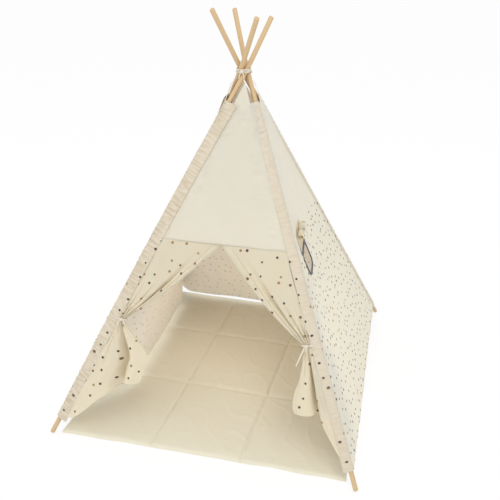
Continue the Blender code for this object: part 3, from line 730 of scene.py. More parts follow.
def pine(colour):
    material, tree, shader = new_material("pine", 0.52)
    grain = use_group(tree, "grain", grain_group, Vector=cut_map(tree))
    pale = tinted(colour, (1.12, 1.14, 1.18))
    dark = tinted(colour, (0.80, 0.74, 0.66))
    base = mix_colour(tree, grain.outputs["Bands"], dark, pale)
    streak = math_node(tree, "MULTIPLY_ADD", grain.outputs["Streaks"], 2.2, -0.75)
    streak_limit = tree.nodes.new("ShaderNodeClamp")
    tree.links.new(streak, streak_limit.inputs["Value"])
    base = mix_colour(tree, math_node(tree, "MULTIPLY", streak_limit.outputs[0], 0.45), base, colour)
    fleck = math_node(tree, "GREATER_THAN", grain.outputs["Flecks"], 0.70)
    base = mix_colour(tree, math_node(tree, "MULTIPLY", fleck, 0.35), base, dark)
    tree.links.new(base, shader.inputs["Base Color"])
    rough = math_node(tree, "MULTIPLY_ADD", grain.outputs["Streaks"], 0.18, 0.44)
    tree.links.new(rough, shader.inputs["Roughness"])
    set_bump(tree, shader, grain.outputs["Streaks"], 0.25, 0.0004)
    return material


def steel():
    """Thin plated tube, brushed round."""
    material, tree, shader = new_material("ferrule_steel", 0.34)
    shader.inputs["Metallic"].default_value = 1.0
    place = tree.nodes.new("ShaderNodeTexCoord")
    streaks = noise_node(tree, place.outputs["Object"], 700.0, 2.0)
    tree.links.new(
        mix_colour(tree, streaks.outputs["Fac"], (0.50, 0.50, 0.49), (0.62, 0.62, 0.60)),
        shader.inputs["Base Color"]
    )
    tree.links.new(
        math_node(tree, "MULTIPLY_ADD", streaks.outputs["Fac"], 0.2, 0.26), shader.inputs["Roughness"]
    )
    return material


def cord_cotton(name, colour, scale=900.0):
    """Twisted or woven cotton cord and ribbon."""
    material, tree, shader = new_material(name, 0.85, 0.2)
    weave = use_group(tree, "weave", weave_group, Vector=cut_map(tree), Threads=scale)
    deep = tuple(c * 0.86 for c in colour)
    tree.links.new(mix_colour(tree, weave.outputs["Tint"], colour, deep), shader.inputs["Base Color"])
    set_bump(tree, shader, weave.outputs["Height"], 0.5, 0.0005)
    return material


MATERIALS = {}


def finish_of(key):
    """The material for one of the teepee's finishes, made on first use."""
    if key in MATERIALS:
        return MATERIALS[key]
    cloth = bpy.context.scene.teepee_cloth
    timber = bpy.context.scene.teepee_timber
    mat = bpy.context.scene.teepee_mat
    ivory = tuple(cloth.ivory)
    inside = tinted(ivory, (0.985, 0.975, 1.100))
    warm = tinted(ivory, (0.845, 0.838, 0.850))
    # Painted shade: the door flaps' cloth is a darker, warmer copy of the ivory, for the shade that the
    # hanging flaps are in
    flap = tinted(ivory, (0.890, 0.865, 0.840))
    large = (cloth.large_spacing, cloth.large_dot)
    small = (cloth.small_spacing, cloth.small_dot)
    makers = {
        "plain_out": lambda: cotton("ivory_cotton", ivory),
        "plain_in": lambda: cotton("ivory_cotton_inside", inside),
        "large_out": lambda: cotton("painted_shade_large_dot_cotton", flap, large),
        "large_in": lambda: cotton("large_dot_cotton_inside", flap, large, True),
        "small_out": lambda: cotton("small_dot_cotton", ivory, small),
        "small_in": lambda: cotton("small_dot_cotton_inside", inside, small, True),
        # Sleeve cloths have shade painted into their gathers' valleys. The gathered ones, for the front-left
        # sleeve, have more of it, which paints that whole sleeve darker, as if in shade
        "sleeve_plain": lambda: cotton("sleeve_cotton", warm, thin=False, gathers=0.3),
        "sleeve_print": lambda: cotton("sleeve_dot_cotton", warm, large, thin=False, gathers=0.3),
        "gathered_plain": lambda: cotton("painted_shade_gathered_cotton", warm, thin=False, gathers=0.8),
        "gathered_print": lambda: cotton("painted_shade_gathered_dot_cotton", warm, large, thin=False, gathers=0.8),
        "mat": lambda: cotton("quilted_cotton", tuple(mat.cotton), threads=520.0, crease=1.6, thin=False),
        "pine": lambda: pine(tuple(timber.pine)),
        "steel": steel,
        "tape": lambda: cord_cotton("dark_tape", (0.075, 0.078, 0.100)),
        "cord": lambda: cord_cotton("cream_cord", (0.830, 0.760, 0.620)),
        "roll": lambda: cotton("curtain_cotton", tinted(ivory, (1.0, 0.90, 0.78)), small),
    }
    MATERIALS[key] = makers[key]()
    return MATERIALS[key]


# Canopy


# Rows of mesh up a side: below the seam, above it, and in its free tip
PRINTED_ROWS = 74
PLAIN_ROWS = 44
TIP_ROWS = 8
FRONT_ROWS = 56
SIDE_COLUMNS = 110
WINDOW_SIDE_COLUMNS = 130
FRONT_COLUMNS = 90


def wall_rows(top_rows, bottom_rows, shoulder_rows):
    heights = [mix(HEM_HEIGHT, SEAM_HEIGHT, i / bottom_rows) for i in range(bottom_rows)]
    heights += [mix(SEAM_HEIGHT, SHOULDER_HEIGHT - 0.002, i / top_rows) for i in range(top_rows + 1)]
    heights += [mix(SHOULDER_HEIGHT, TIP_HEIGHT, i / shoulder_rows) for i in range(shoulder_rows + 1)]
    return heights


def canopy_place(wall, heights):
    """Place and cut of a side from its hem or seam to its free pointed tip."""
    rows = len(heights) - 1
    slope = wall.outward_slope()

    def spot(u, v):
        height = heights[round(v * rows)]
        if height < SHOULDER_HEIGHT:
            return wall.cloth(u, height)
        half = max(wall.width(height) / 2 - 0.0215, 0.0004)
        share = 0.5 + (2 * u - 1) * half / wall.width(height)
        lift = 0.004 * ramp((height - SHOULDER_HEIGHT) / 0.05)
        return wall.cloth(share, height) + wall.outward * lift

    def cut(u, v):
        height = heights[round(v * rows)]
        return ((u - 0.5) * wall.width(min(height, TIP_HEIGHT)), height / slope)

    return spot, cut


def full_wall(name, columns, outer, inner):
    """A side of one piece: printed below the seam, plain above it."""
    wall = Wall(name)
    heights = wall_rows(PLAIN_ROWS, PRINTED_ROWS, TIP_ROWS)
    seam_row = PRINTED_ROWS / (len(heights) - 1)
    spot, cut = canopy_place(wall, heights)
    materials = [finish_of("plain_out"), finish_of(outer), finish_of("plain_in"), finish_of(inner)]
    thickness = bpy.context.scene.teepee_cloth.thickness
    side = cloth_sheet(
        f"{name}_side", columns, len(heights) - 1, spot, cut, materials, thickness,
        lambda u, v: int(v < seam_row),
    )
    return side, wall


def hang_side(side, wall, corner):
    """A whole side moves with the pole that it gathers to."""
    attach(side, f"pole_{corner}")
    squash_to_pole(side, wall, corner)
    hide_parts(f"{wall.name}_upper_panel", f"{wall.name}_lower_panel")
    drop = (TIP_HEIGHT - HEM_HEIGHT) / wall.outward_slope()
    area = (wall.width(HEM_HEIGHT) + wall.width(SHOULDER_HEIGHT)) / 2 * drop


class TEEPEE_OT_side_walls(bpy.types.Operator):
    """Back and left sides of the canopy, which hang slack between their poles"""

    bl_idname = "teepee.side_walls"
    bl_label = "Back and Left Sides"

    def execute(self, context):
        for name, corner in (("back", "back_right"), ("left", "back_left")):
            side, wall = full_wall(name, SIDE_COLUMNS, "small_out", "small_in")
            hang_side(side, wall, corner)
        return {"FINISHED"}


class TEEPEE_OT_front_panel(bpy.types.Operator):
    """Plain front panel over the door, with its free pointed tip"""

    bl_idname = "teepee.front_panel"
    bl_label = "Front Panel"

    def execute(self, context):
        wall = Wall("front")
        heights = [height for height in wall_rows(FRONT_ROWS, 1, TIP_ROWS) if height >= SEAM_HEIGHT]
        spot, cut = canopy_place(wall, heights)
        materials = [finish_of("plain_out"), finish_of("plain_in")]
        panel = cloth_sheet(
            "front_panel", FRONT_COLUMNS, len(heights) - 1, spot, cut, materials,
            context.scene.teepee_cloth.thickness,
        )
        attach(panel, "pole_front_left")
        squash_to_pole(panel, wall, "front_left")
        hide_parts("front_upper_panel")
        drop = (TIP_HEIGHT - SEAM_HEIGHT) / wall.outward_slope()
        area = (wall.width(SEAM_HEIGHT) + wall.width(SHOULDER_HEIGHT)) / 2 * drop
        return {"FINISHED"}


SLEEVE_SECTION = (
    (34.0, 16.0), (24.0, 16.6), (13.0, 16.0), (3.0, 14.2), (-6.0, 10.8), (-11.2, 5.4), (-12.7, -1.0),
    (-10.8, -7.4), (-5.2, -11.8), (3.0, -12.6), (10.0, -8.0), (17.0, 1.5), (25.0, 11.0),
)


SLEEVE_ROWS = 380
SLEEVE_SIDES = 48
SLEEVE_GIRTH = 0.098
SLEEVE_THICKNESS = 0.0009


class TEEPEE_OT_sleeves(bpy.types.Operator):
    """Cloth channels that the poles slide into, flat on one side where they are stitched"""

    bl_idname = "teepee.sleeves"
    bl_label = "Pole Sleeves"

    def execute(self, context):
        for corner in CORNERS:
            self.sleeve(corner)
        return {"FINISHED"}

    def sleeve(self, corner):
        front = corner.startswith("front")
        wall = Wall("front" if front else corner.split("_")[1])
        inward = wall.across if corner == wall.first else -wall.across
        along = pole_direction(corner)
        inward = (inward - along * inward.dot(along)).normalized()
        side_wall = Wall(corner.split("_")[1] if front else "back")
        low = foot_start(corner) + HEM_HEIGHT
        high = (SHOULDER_HEIGHT + 0.004) / along.z
        loop = [(index / len(SLEEVE_SECTION), *spot) for index, spot in enumerate(SLEEVE_SECTION)]
        loop.append((1.0, *SLEEVE_SECTION[0]))
        seed = float(list(CORNERS).index(corner))
        gather = 2.6 if corner == "front_left" else 1.3
        tuck = 0.6 if corner == "front_right" else 1.0

        def ring(share):
            length = mix(low, high, share)
            middle = pole_point(corner, length)
            height = middle.z
            outward = (wall.edge(corner, height) - at_height(corner, height)).normalized()
            outward = (outward - along * outward.dot(along)).normalized()
            slack = sleeve_slack(side_wall, corner, height) * 1000 if front else 0.0
            points = []
            for step in range(SLEEVE_SIDES):
                turn = step / SLEEVE_SIDES
                a, b = catmull(loop, turn)
                margin = ramp((a - 12) / 14)
                a = 13 + (a - 13) * tuck if a > 13 else a
                outer = ramp((-a + 2) / 12)
                a -= slack * outer + slack * 0.8 * margin
                wave = math.sin(length * 290 + 6 * turn + 6 * ripple(length * 11, turn * 2, seed))
                wave *= 0.45 + abs(ripple(length * 8, turn * 2, seed + 3))
                fine = ripple(length * 90, turn * 6, seed + 7)
                push = ((wave + 0.35) * gather + 0.5 * fine) * (1 - margin * 0.75)
                if push < 0:
                    # The side of the canopy lies close underneath here
                    push *= 1 - 0.85 * ramp((a + 7) / 8)
                size = math.hypot(a, b)
                points.append(
                    middle + (inward * (a + a / size * push) + outward * (b + b / size * push)) / 1000
                )
            return points

        rings = [ring(row / SLEEVE_ROWS) for row in range(SLEEVE_ROWS + 1)]
        # The front-left sleeve takes the cloths with more painted shade
        kind = "gathered" if corner == "front_left" else "sleeve"
        printed, plain = finish_of(kind + "_print"), finish_of(kind + "_plain")
        piece = lofted_tube(
            f"sleeve_{corner}",
            rings,
            lambda share, turn: (turn * SLEEVE_GIRTH, mix(low, high, share)),
            [printed, plain],
        )
        for face in piece.data.polygons:
            face.material_index = int(face.center.z > SEAM_HEIGHT)
        wall_thickness = piece.modifiers.new("thickness", "SOLIDIFY")
        wall_thickness.thickness = SLEEVE_THICKNESS
        wall_thickness.offset = -1
        apply_modifiers(piece)
        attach(piece, f"pole_{corner}")
        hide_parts(f"pole_sleeve_{corner}")


# Door


class Flap:
    """A door flap tied back to its pole. Places are a reach from the pole along the front and a height."""

    def __init__(self, side):
        self.side = side
        self.wall = Wall("front")
        self.corner = f"front_{side}"
        self.upslope = self.wall.outward.cross(self.wall.across).normalized()
        share = 0.485 if side == "left" else 0.515
        self.apex = self.wall.width(SEAM_HEIGHT) * share
        self.sag = 0.026 if side == "left" else 0.036

    def place(self, reach, height, proud=0.0):
        share = reach / self.wall.width(height)
        share = share if self.side == "left" else 1 - share
        return self.wall.point(share, height) + self.wall.outward * proud

    def cut(self, point):
        """Where a point of the flap lay on the print, taken square to the front."""
        return (point.dot(self.wall.across), point.dot(self.upslope))

    def neck(self, across):
        return mix(0.021, 0.056, across)

    def drape(self, across, up):
        down = 1 - up
        reach = mix(self.neck(across), mix(0.012, self.apex, across), up)
        height = mix(NECK_HEIGHT + 0.004, SEAM_HEIGHT, up) - self.sag * across ** 1.6 * 4 * up * down
        waves = 5.2 * across + 0.3 * ripple(across * 4, up * 3, 2.0)
        proud = 0.0042 * bell(up, 0.10, 0.09) * math.sin(2 * math.pi * waves)
        proud -= folds(DRAPE_FOLDS[self.side], across, up)
        crease = 0.895 if self.side == "left" else 0.868
        proud -= 0.0032 * bell(across, crease, 0.016) * ramp(up / 0.04) * ramp((1.02 - up) / 0.12)
        proud += 0.0042 * ramp((across - crease) / 0.03) * ramp(up / 0.06) * ramp((1.0 - up) / 0.05)
        proud -= 0.007 * ramp((across - 0.950) / 0.050) * ramp(up / 0.06)
        proud += 0.0020 * ripple(across * 3.5 + up, up * 4.0, 31.0) * ramp(down / 0.1)
        return self.place(reach, height, proud)

    def tail(self, across, up):
        reach_hem, proud_hem, height_hem = catmull(TAIL_HEMS[self.side], across)
        down = 1 - up
        opened = mix(down ** 0.9, catmull(TAIL_EDGES[self.side], down)[0], across ** 1.5)
        reach = mix(self.neck(across), reach_hem, opened)
        height = mix(height_hem, NECK_HEIGHT - 0.004, up)
        proud = proud_hem * ramp(down / 0.75) ** 0.8
        proud -= folds(TAIL_FOLDS[self.side], across, down)
        waves = 4.6 * across + 0.35 * ripple(across * 4, up * 3, 5.0)
        proud += 0.0034 * bell(down, 0.12, 0.12) * math.sin(2 * math.pi * waves)
        proud += 0.0022 * ripple(across * 4.0, up * 5.0, 37.0) * ramp(down / 0.15)
        return self.place(reach, height, proud)


def folds(rows, across, away):
    """Depth of the pleats that run from the tie. Each row: place and width across at the tie and at the far
    end, depth, how far from the tie the pleat runs before it has opened out, and how steep its sides are."""
    depth = 0.0
    for place, width, far_place, far_width, deep, run, steep in rows:
        share = min(away / run, 1.0)
        well = math.exp(
            -(abs((across - mix(place, far_place, share)) / mix(width, far_width, share)) ** steep)
        )
        fade = 1.0 if run >= 1.0 else 1 - ramp((away / run - 0.25) / 0.75)
        depth += well * deep * fade * (0.12 + 0.88 * ramp(away / (0.16 if steep > 3 else 0.60)))
    return depth


DRAPE_FOLDS = {
    "left": (
        (0.045, 0.022, 0.045, 0.022, 0.105, 0.98, 4), (0.76, 0.030, 0.80, 0.060, 0.032, 0.98, 2),
        (0.56, 0.030, 0.56, 0.050, 0.020, 0.60, 2), (0.34, 0.035, 0.30, 0.050, 0.018, 0.45, 2),
    ),
    "right": (
        (0.050, 0.024, 0.050, 0.024, 0.090, 0.98, 4), (0.74, 0.030, 0.76, 0.060, 0.030, 0.98, 2),
        (0.52, 0.030, 0.52, 0.050, 0.020, 0.60, 2), (0.30, 0.035, 0.28, 0.050, 0.016, 0.45, 2),
    ),
}
TAIL_FOLDS = {
    "left": (
        (0.60, 0.045, 0.66, 0.070, 0.050, 1.0, 2), (0.045, 0.024, 0.045, 0.024, 0.085, 1.0, 4),
        (0.30, 0.040, 0.28, 0.060, 0.012, 0.70, 2),
    ),
    "right": (
        (0.52, 0.045, 0.50, 0.060, 0.042, 1.0, 2), (0.050, 0.026, 0.050, 0.026, 0.120, 1.0, 4),
        (0.80, 0.040, 0.80, 0.060, 0.010, 0.70, 2),
    ),
}
# Free edge of each tail: share of the way down, then share of the way out
TAIL_EDGES = {
    "left": ((0.0, 0.0), (0.30, 0.47), (0.58, 0.93), (0.72, 0.94), (1.0, 1.0)),
    "right": ((0.0, 0.0), (0.20, 0.15), (0.53, 0.50), (0.69, 0.77), (0.90, 0.98), (1.0, 1.0)),
}
# Hem of each tail: share across, then reach from the pole, stand-off and height
TAIL_HEMS = {
    "left": (
        (0.00, 0.016, 0.000, 0.076), (0.16, 0.056, 0.006, 0.078), (0.30, 0.088, 0.010, 0.114),
        (0.44, 0.115, 0.010, 0.158), (0.56, 0.142, 0.004, 0.188), (0.66, 0.160, 0.000, 0.228),
        (0.76, 0.180, 0.008, 0.230), (0.88, 0.206, 0.014, 0.232), (1.00, 0.236, 0.004, 0.240),
    ),
    "right": (
        (0.00, 0.014, 0.000, 0.086), (0.15, 0.034, 0.008, 0.130), (0.35, 0.055, 0.010, 0.190),
        (0.46, 0.064, 0.004, 0.226), (0.54, 0.078, 0.002, 0.230), (0.65, 0.098, 0.010, 0.226),
        (0.85, 0.130, 0.014, 0.224), (1.00, 0.156, 0.003, 0.226),
    ),
}


class TEEPEE_OT_door(bpy.types.Operator):
    """Both door flaps: the drape above each tie and the loose tail below it"""

    bl_idname = "teepee.door"
    bl_label = "Door Flaps"

    def execute(self, context):
        thickness = context.scene.teepee_cloth.thickness
        materials = [finish_of("large_out"), finish_of("large_in")]
        for side in ("left", "right"):
            flap = Flap(side)
            flip = side == "right"
            for kind, hang in (("drape", flap.drape), ("tail", flap.tail)):

                def place(u, v, hang=hang):
                    return hang(1 - u if flip else u, v)

                piece = cloth_sheet(
                    f"door_{kind}_cloth_{side}",
                    200,
                    80,
                    place,
                    lambda u, v, place=place, flap=flap: flap.cut(place(u, v)),
                    materials,
                    thickness,
                )
                body = f"pole_front_{side}" if kind == "drape" else f"tail_{side}"
                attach(piece, body)
                squash_to_pole(piece, flap.wall, flap.corner, FLAP_REACH)
                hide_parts(f"door_{kind}_{side}")
        return {"FINISHED"}


def ribbon(name, points, width, thickness, facing, material):
    """A narrow woven ribbon along a route, facing one way."""
    route = refine(points, width / 2)
    rings = []
    for index, point in enumerate(route):
        before, after = route[max(index - 1, 0)], route[min(index + 1, len(route) - 1)]
        heading = (after - before).normalized()
        out = (facing - heading * facing.dot(heading)).normalized()
        across = heading.cross(out)
        ring = []
        for a, b in (
            (-1, -1), (-0.6, -1), (0, -1), (0.6, -1), (1, -1), (1, 1), (0.6, 1), (0, 1), (-0.6, 1), (-1, 1)
        ):
            cup = 0.10 * (1 - a * a)
            ring.append(point + across * a * width / 2 + out * (b * thickness / 2 + cup * width))
        rings.append(ring)
    length = route_length(route)
    return lofted_tube(
        name, rings, lambda along, around: (around * width * 2, along * length), [material], True
    )


def knot_ball(name, centre, size, facing, material):
    """A small pulled-tight knot: a ball shaped by its crossing strands."""
    deselect()
    bpy.ops.mesh.primitive_uv_sphere_add(segments=32, ring_count=20, radius=1.0, location=(0, 0, 0))
    piece = bpy.context.active_object
    piece.name = name
    turn = facing.to_track_quat("Z", "Y").to_matrix()
    pattern = piece.data.uv_layers.active or piece.data.uv_layers.new(name="cut")
    pattern.name = "cut"
    for vertex in piece.data.vertices:
        direction = vertex.co.normalized()
        groove = 0.16 * bell(direction.x + 0.7 * direction.y, 0.15, 0.16)
        groove += 0.12 * bell(direction.y - 0.5 * direction.x, -0.3, 0.14)
        local = Vector(
            (direction.x * size[0], direction.y * size[1], direction.z * size[2])
        ) * (0.5 - groove * 0.5)
        vertex.co = centre + turn @ local
    for loop in pattern.data:
        loop.uv = loop.uv * size[0] * 3
    piece.data.materials.append(material)
    piece.data.shade_smooth()
    return piece


TIE_BAND = (0.0062, 0.0011)
TIE_END = (0.0052, 0.0010)
TIE_KNOT = (0.015, 0.013, 0.010)
TIE_KNOT_PROUD = 0.0135


class TEEPEE_OT_ties(bpy.types.Operator):
    """Ribbon ties that gather the door flaps"""

    bl_idname = "teepee.ties"
    bl_label = "Door Ties"

    def execute(self, context):
        cord = finish_of("cord")
        for side in ("left", "right"):
            flap = Flap(side)
            out = flap.wall.outward
            up = flap.upslope

            def spot(reach, rise, proud):
                return flap.place(reach, NECK_HEIGHT) + up * rise + out * proud

            loop = [
                spot(0.018, 0.001, -0.002), spot(0.020, 0.002, 0.006), spot(0.032, 0.002, 0.0098),
                spot(0.044, 0.000, 0.0100), spot(0.056, -0.001, 0.0070), spot(0.0605, -0.001, 0.000),
                spot(0.056, 0.000, -0.007), spot(0.044, 0.001, -0.0095), spot(0.030, 0.002, -0.0085),
                spot(0.0200, 0.001, -0.0060),
            ]
            parts = [ribbon("band", loop, *TIE_BAND, out, cord)]
            parts.append(knot_ball("knot", spot(0.042, 0.0, TIE_KNOT_PROUD), TIE_KNOT, out, cord))
            if side == "right":
                ends = ((0.046, 0.0, 0.076, 0.0), (0.038, 0.004, 0.026, 0.006))
            else:
                ends = ((0.050, 0.004, 0.020, 0.010), (0.036, -0.002, 0.024, -0.006))
            for number, (reach, rise, length, lean) in enumerate(ends):
                # The long end hangs plumb in front of the tail, the short ones stand off the knot
                drift = 0.024 if (side == "right" and number == 0) else lean
                points = []
                for step in range(6):
                    part = step / 5
                    proud = TIE_KNOT_PROUD + 0.006 * math.sin(math.pi * part)
                    points.append(spot(reach + drift * part, rise - length * part, proud))
                parts.append(ribbon(f"end_{number}", points, *TIE_END, out, cord))
            tie = join_pieces(f"tie_{side}", parts)
            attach(tie, f"pole_front_{side}")
            squash_to_pole(tie, flap.wall, flap.corner, FLAP_REACH)
            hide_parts(f"door_tie_{side}")
        return {"FINISHED"}


# Window

WINDOW_SIZE = (0.130, 0.170)
WINDOW_CORNER = 0.034
WINDOW_FROM_POLE = 0.120
WINDOW_CENTRE_HEIGHT = 0.700
# Section of the folded tape: share across it, and height over the cloth in millimetres
TAPE_SECTION = (
    (0, 0.9), (0.12, 1.7), (0.5, 2.0), (0.88, 1.8), (1, 0.6),
    (1, -0.6), (0.88, -1.8), (0.5, -2.0), (0.12, -1.7), (0, -0.9),
)


def window_frame():
    """Placement of the window: local X level, Y up the cloth, Z outward."""
    wall = Wall("right")
    width = wall.width(WINDOW_CENTRE_HEIGHT)
    centre = wall.point(WINDOW_FROM_POLE / width, WINDOW_CENTRE_HEIGHT)
    near = wall.point((WINDOW_FROM_POLE - WINDOW_SIZE[0] / 2) / width, WINDOW_CENTRE_HEIGHT)
    far = wall.point((WINDOW_FROM_POLE + WINDOW_SIZE[0] / 2) / width, WINDOW_CENTRE_HEIGHT)
    level = (far - near).normalized()
    outward = (wall.outward - level * wall.outward.dot(level)).normalized()
    up = outward.cross(level)
    turn = Matrix((level, up, outward)).transposed().to_4x4()
    return Matrix.Translation(centre) @ turn


def rounded_outline(width, height, radius, steps):
    points = []
    for quarter, (side_x, side_y) in enumerate(((1, 1), (-1, 1), (-1, -1), (1, -1))):
        for step in range(steps + 1):
            angle = math.pi / 2 * (quarter + step / steps)
            points.append((side_x * (width / 2 - radius) + radius * math.cos(angle),
                           side_y * (height / 2 - radius) + radius * math.sin(angle)))
    return points


class TEEPEE_OT_window_wall(bpy.types.Operator):
    """Right side of the canopy, with the window cut out of it"""

    bl_idname = "teepee.window_wall"
    bl_label = "Right Side"

    def execute(self, context):
        side, wall = full_wall("right", WINDOW_SIDE_COLUMNS, "small_out", "small_in")
        deselect()
        outline = rounded_outline(WINDOW_SIZE[0] - 0.002, WINDOW_SIZE[1] - 0.002, WINDOW_CORNER, 10)
        bpy.ops.mesh.primitive_circle_add(vertices=len(outline), fill_type="NGON")
        cutter = context.active_object
        place = window_frame()
        for vertex, (x, y) in zip(cutter.data.vertices, outline):
            vertex.co = (x, y, -0.03)
        bpy.ops.object.mode_set(mode="EDIT")
        bpy.ops.mesh.select_all(action="SELECT")
        bpy.ops.mesh.extrude_region_move(TRANSFORM_OT_translate={"value": (0, 0, 0.06)})
        bpy.ops.mesh.select_all(action="SELECT")
        bpy.ops.mesh.normals_make_consistent(inside=False)
        bpy.ops.object.mode_set(mode="OBJECT")
        cutter.matrix_world = place
        hole = side.modifiers.new("window", "BOOLEAN")
        hole.operation = "DIFFERENCE"
        hole.object = cutter
        apply_modifiers(side)
        bpy.data.objects.remove(cutter, do_unlink=True)
        hang_side(side, wall, "front_right")
        return {"FINISHED"}


def with_window(piece, node):
    """The window's pieces ride on the same pole as the side they are sewn to."""
    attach(piece, "pole_front_right")
    squash_to_pole(piece, Wall("right"), "front_right")
    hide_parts(node)


class TEEPEE_OT_window_trim(bpy.types.Operator):
    """Folded tape round the window and the tape bar across it"""

    bl_idname = "teepee.window_trim"
    bl_label = "Window Tape"

    def execute(self, context):
        place = window_frame()
        tape = finish_of("tape")
        outer = rounded_outline(WINDOW_SIZE[0] + 0.004, WINDOW_SIZE[1] + 0.004, WINDOW_CORNER + 0.002, 12)
        inner = rounded_outline(WINDOW_SIZE[0] - 0.016, WINDOW_SIZE[1] - 0.016, WINDOW_CORNER - 0.008, 12)
        rings = []
        for (ax, ay), (bx, by) in zip(outer, inner):
            ring = []
            for share, lift in TAPE_SECTION:
                ring.append(place @ Vector((mix(ax, bx, share), mix(ay, by, share), lift / 1000)))
            rings.append(ring)
        rings.append(rings[0])
        ring_piece = lofted_tube(
            "window_tape", rings, lambda along, around: (around * 0.024, along * 0.52), [tape]
        )
        merge(ring_piece)
        with_window(ring_piece, "window_binding")
        height = (WINDOW_SIZE[1] - 0.016) * 0.10
        reach = WINDOW_SIZE[0] / 2 - 0.006
        points = []
        for x in (-1, -0.5, 0, 0.5, 1):
            points.append(place @ Vector((x * reach, height + 0.0015 * x, 0.0024 - 0.0012 * (1 - x * x))))
        bar = ribbon("window_bar", points, 0.014, 0.0013, place.to_3x3() @ Vector((0, 0, 1)), tape)
        with_window(bar, "window_strap")
        return {"FINISHED"}


def merge(piece):
    """Welds a seam of doubled points and turns the faces out."""
    work = bmesh.new()
    work.from_mesh(piece.data)
    bmesh.ops.remove_doubles(work, verts=work.verts, dist=0.00001)
    bmesh.ops.recalc_face_normals(work, faces=work.faces)
    work.to_mesh(piece.data)
    work.free()


ROLL_LENGTH = 0.112
ROLL_STAND_OFF = 0.0208
ROLL_CUT_DROP = 0.17
# Half of the bow: places from the middle of the roll, across, up and out
BOW_TAIL = (
    (0.002, -0.002, 0.0160), (0.007, -0.012, 0.0175), (0.010, -0.024, 0.0150), (0.012, -0.036, 0.0105),
)
BOW_LOOP = (
    (0.002, 0.000, 0.0165), (0.012, 0.007, 0.0200), (0.021, 0.007, 0.0205), (0.024, 0.001, 0.0195),
    (0.018, -0.003, 0.0175), (0.009, -0.002, 0.0160), (0.002, 0.000, 0.0150),
)


class TEEPEE_OT_curtain(bpy.types.Operator):
    """Rolled window curtain with its sewn-on edge, its ribbon and bow"""

    bl_idname = "teepee.curtain"
    bl_label = "Window Curtain"

    def execute(self, context):
        place = window_frame()
        wall = Wall("right")
        cloth = finish_of("roll")
        out = ROLL_STAND_OFF
        top = WINDOW_SIZE[1] / 2

        def roll_point(share, turn):
            x = (share - 0.5) * ROLL_LENGTH
            turns = 2.6
            waist = 1 - 0.30 * bell(share, 0.5, 0.07)
            flare = 1 + 0.06 * bell(share, 0.0, 0.05) + 0.05 * bell(share, 1.0, 0.05)
            radius = mix(0.0040, 0.0126, turn) * waist * flare
            angle = 2 * math.pi * turns * turn + 1.2
            uneven = 0.0009 * ripple(share * 7, turn * 9, 51.0)
            radius += uneven + 0.0007 * math.sin(share * 60 + turn * 14) * bell(share, 0.5, 0.16)
            droop = -0.004 * (1 - share) ** 2
            return place @ Vector(
                (x, top + radius * math.sin(angle) + droop, out - 0.0012 + radius * math.cos(angle))
            )

        roll = cloth_sheet(
            "curtain_rolled", 56, 110, roll_point, lambda u, v: (u * ROLL_LENGTH, v * ROLL_CUT_DROP),
            [cloth, cloth], 0.0012
        )
        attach(roll, "window_curtain")
        squash_to_pole(roll, wall, "front_right")
        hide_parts("curtain_roll")

        header_top = (place @ Vector((0, top, 0))).z

        def header_point(u, v):
            height = header_top - 0.004 + 0.013 * v
            reach = WINDOW_FROM_POLE + ROLL_LENGTH * (u - 0.5)
            spot = wall.cloth(reach / wall.width(WINDOW_CENTRE_HEIGHT), height)
            return spot + wall.outward * (0.0021 + 0.0004 * math.sin(u * 40))

        header = cloth_sheet(
            "curtain_edge", 60, 8, header_point, lambda u, v: (u * ROLL_LENGTH, v * 0.013), [cloth, cloth],
            0.0010
        )
        with_window(header, "curtain_header")

        # Hidden by the roll while it is up; this strip is not attached to any part and does not move.
        def drop_point(u, v):
            return place @ Vector(((u - 0.5) * ROLL_LENGTH * 0.96, top - 0.006 + 0.003 * v, 0.0052))

        drop = cloth_sheet(
            "curtain_drop", 40, 2, drop_point, lambda u, v: (u * ROLL_LENGTH, v * 0.150), [cloth, cloth],
            0.0008
        )
        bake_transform(drop)

        self.bow(place, out, top, wall)
        return {"FINISHED"}

    def bow(self, place, out, top, wall):
        cord = finish_of("cord")
        normal = place.to_3x3() @ Vector((0, 0, 1))
        middle = Vector((0, top, out - 0.0012))

        def spot(x, y, z):
            return place @ (middle + Vector((x, y, z)))

        around = []
        for step in range(13):
            angle = 2 * math.pi * step / 12
            around.append(spot(0.0008 * math.sin(angle), 0.0108 * math.sin(angle), 0.0108 * math.cos(angle)))
        parts = [round_band("band", around, 0.0080, 0.0012, place.to_3x3() @ Vector((1, 0, 0)), cord)]
        parts.append(knot_ball("bow_knot", spot(0, 0, 0.0150), (0.010, 0.010, 0.009), normal, cord))
        for side in (-1, 1):
            loop = [spot(side * x, y, z) for x, y, z in BOW_LOOP]
            parts.append(ribbon(f"bow_loop_{side}", loop, 0.0070, 0.0009, normal, cord))
            tail = [spot(side * x, y, z) for x, y, z in BOW_TAIL]
            parts.append(ribbon(f"bow_tail_{side}", tail, 0.0065, 0.0009, normal, cord))
        bow = join_pieces("curtain_bow", parts)
        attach(bow, "window_curtain")
        squash_to_pole(bow, wall, "front_right")
        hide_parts("curtain_tie")


def round_band(name, points, width, thickness, axis, material):
    """A ribbon wound once round, its width along an axis."""
    rings = []
    centre = sum(points[:-1], Vector()) / (len(points) - 1)
    for point in refine(points, width / 3):
        out = point - centre
        out = (out - axis * out.dot(axis)).normalized()
        ring = []
        for a, b in ((-1, -1), (0, -1), (1, -1), (1, 1), (0, 1), (-1, 1)):
            ring.append(point + axis * a * width / 2 + out * b * thickness / 2)
        rings.append(ring)
    return lofted_tube(
        name, rings, lambda along, around: (around * width * 2, along * 0.07), [material], True
    )


# Poles and crown


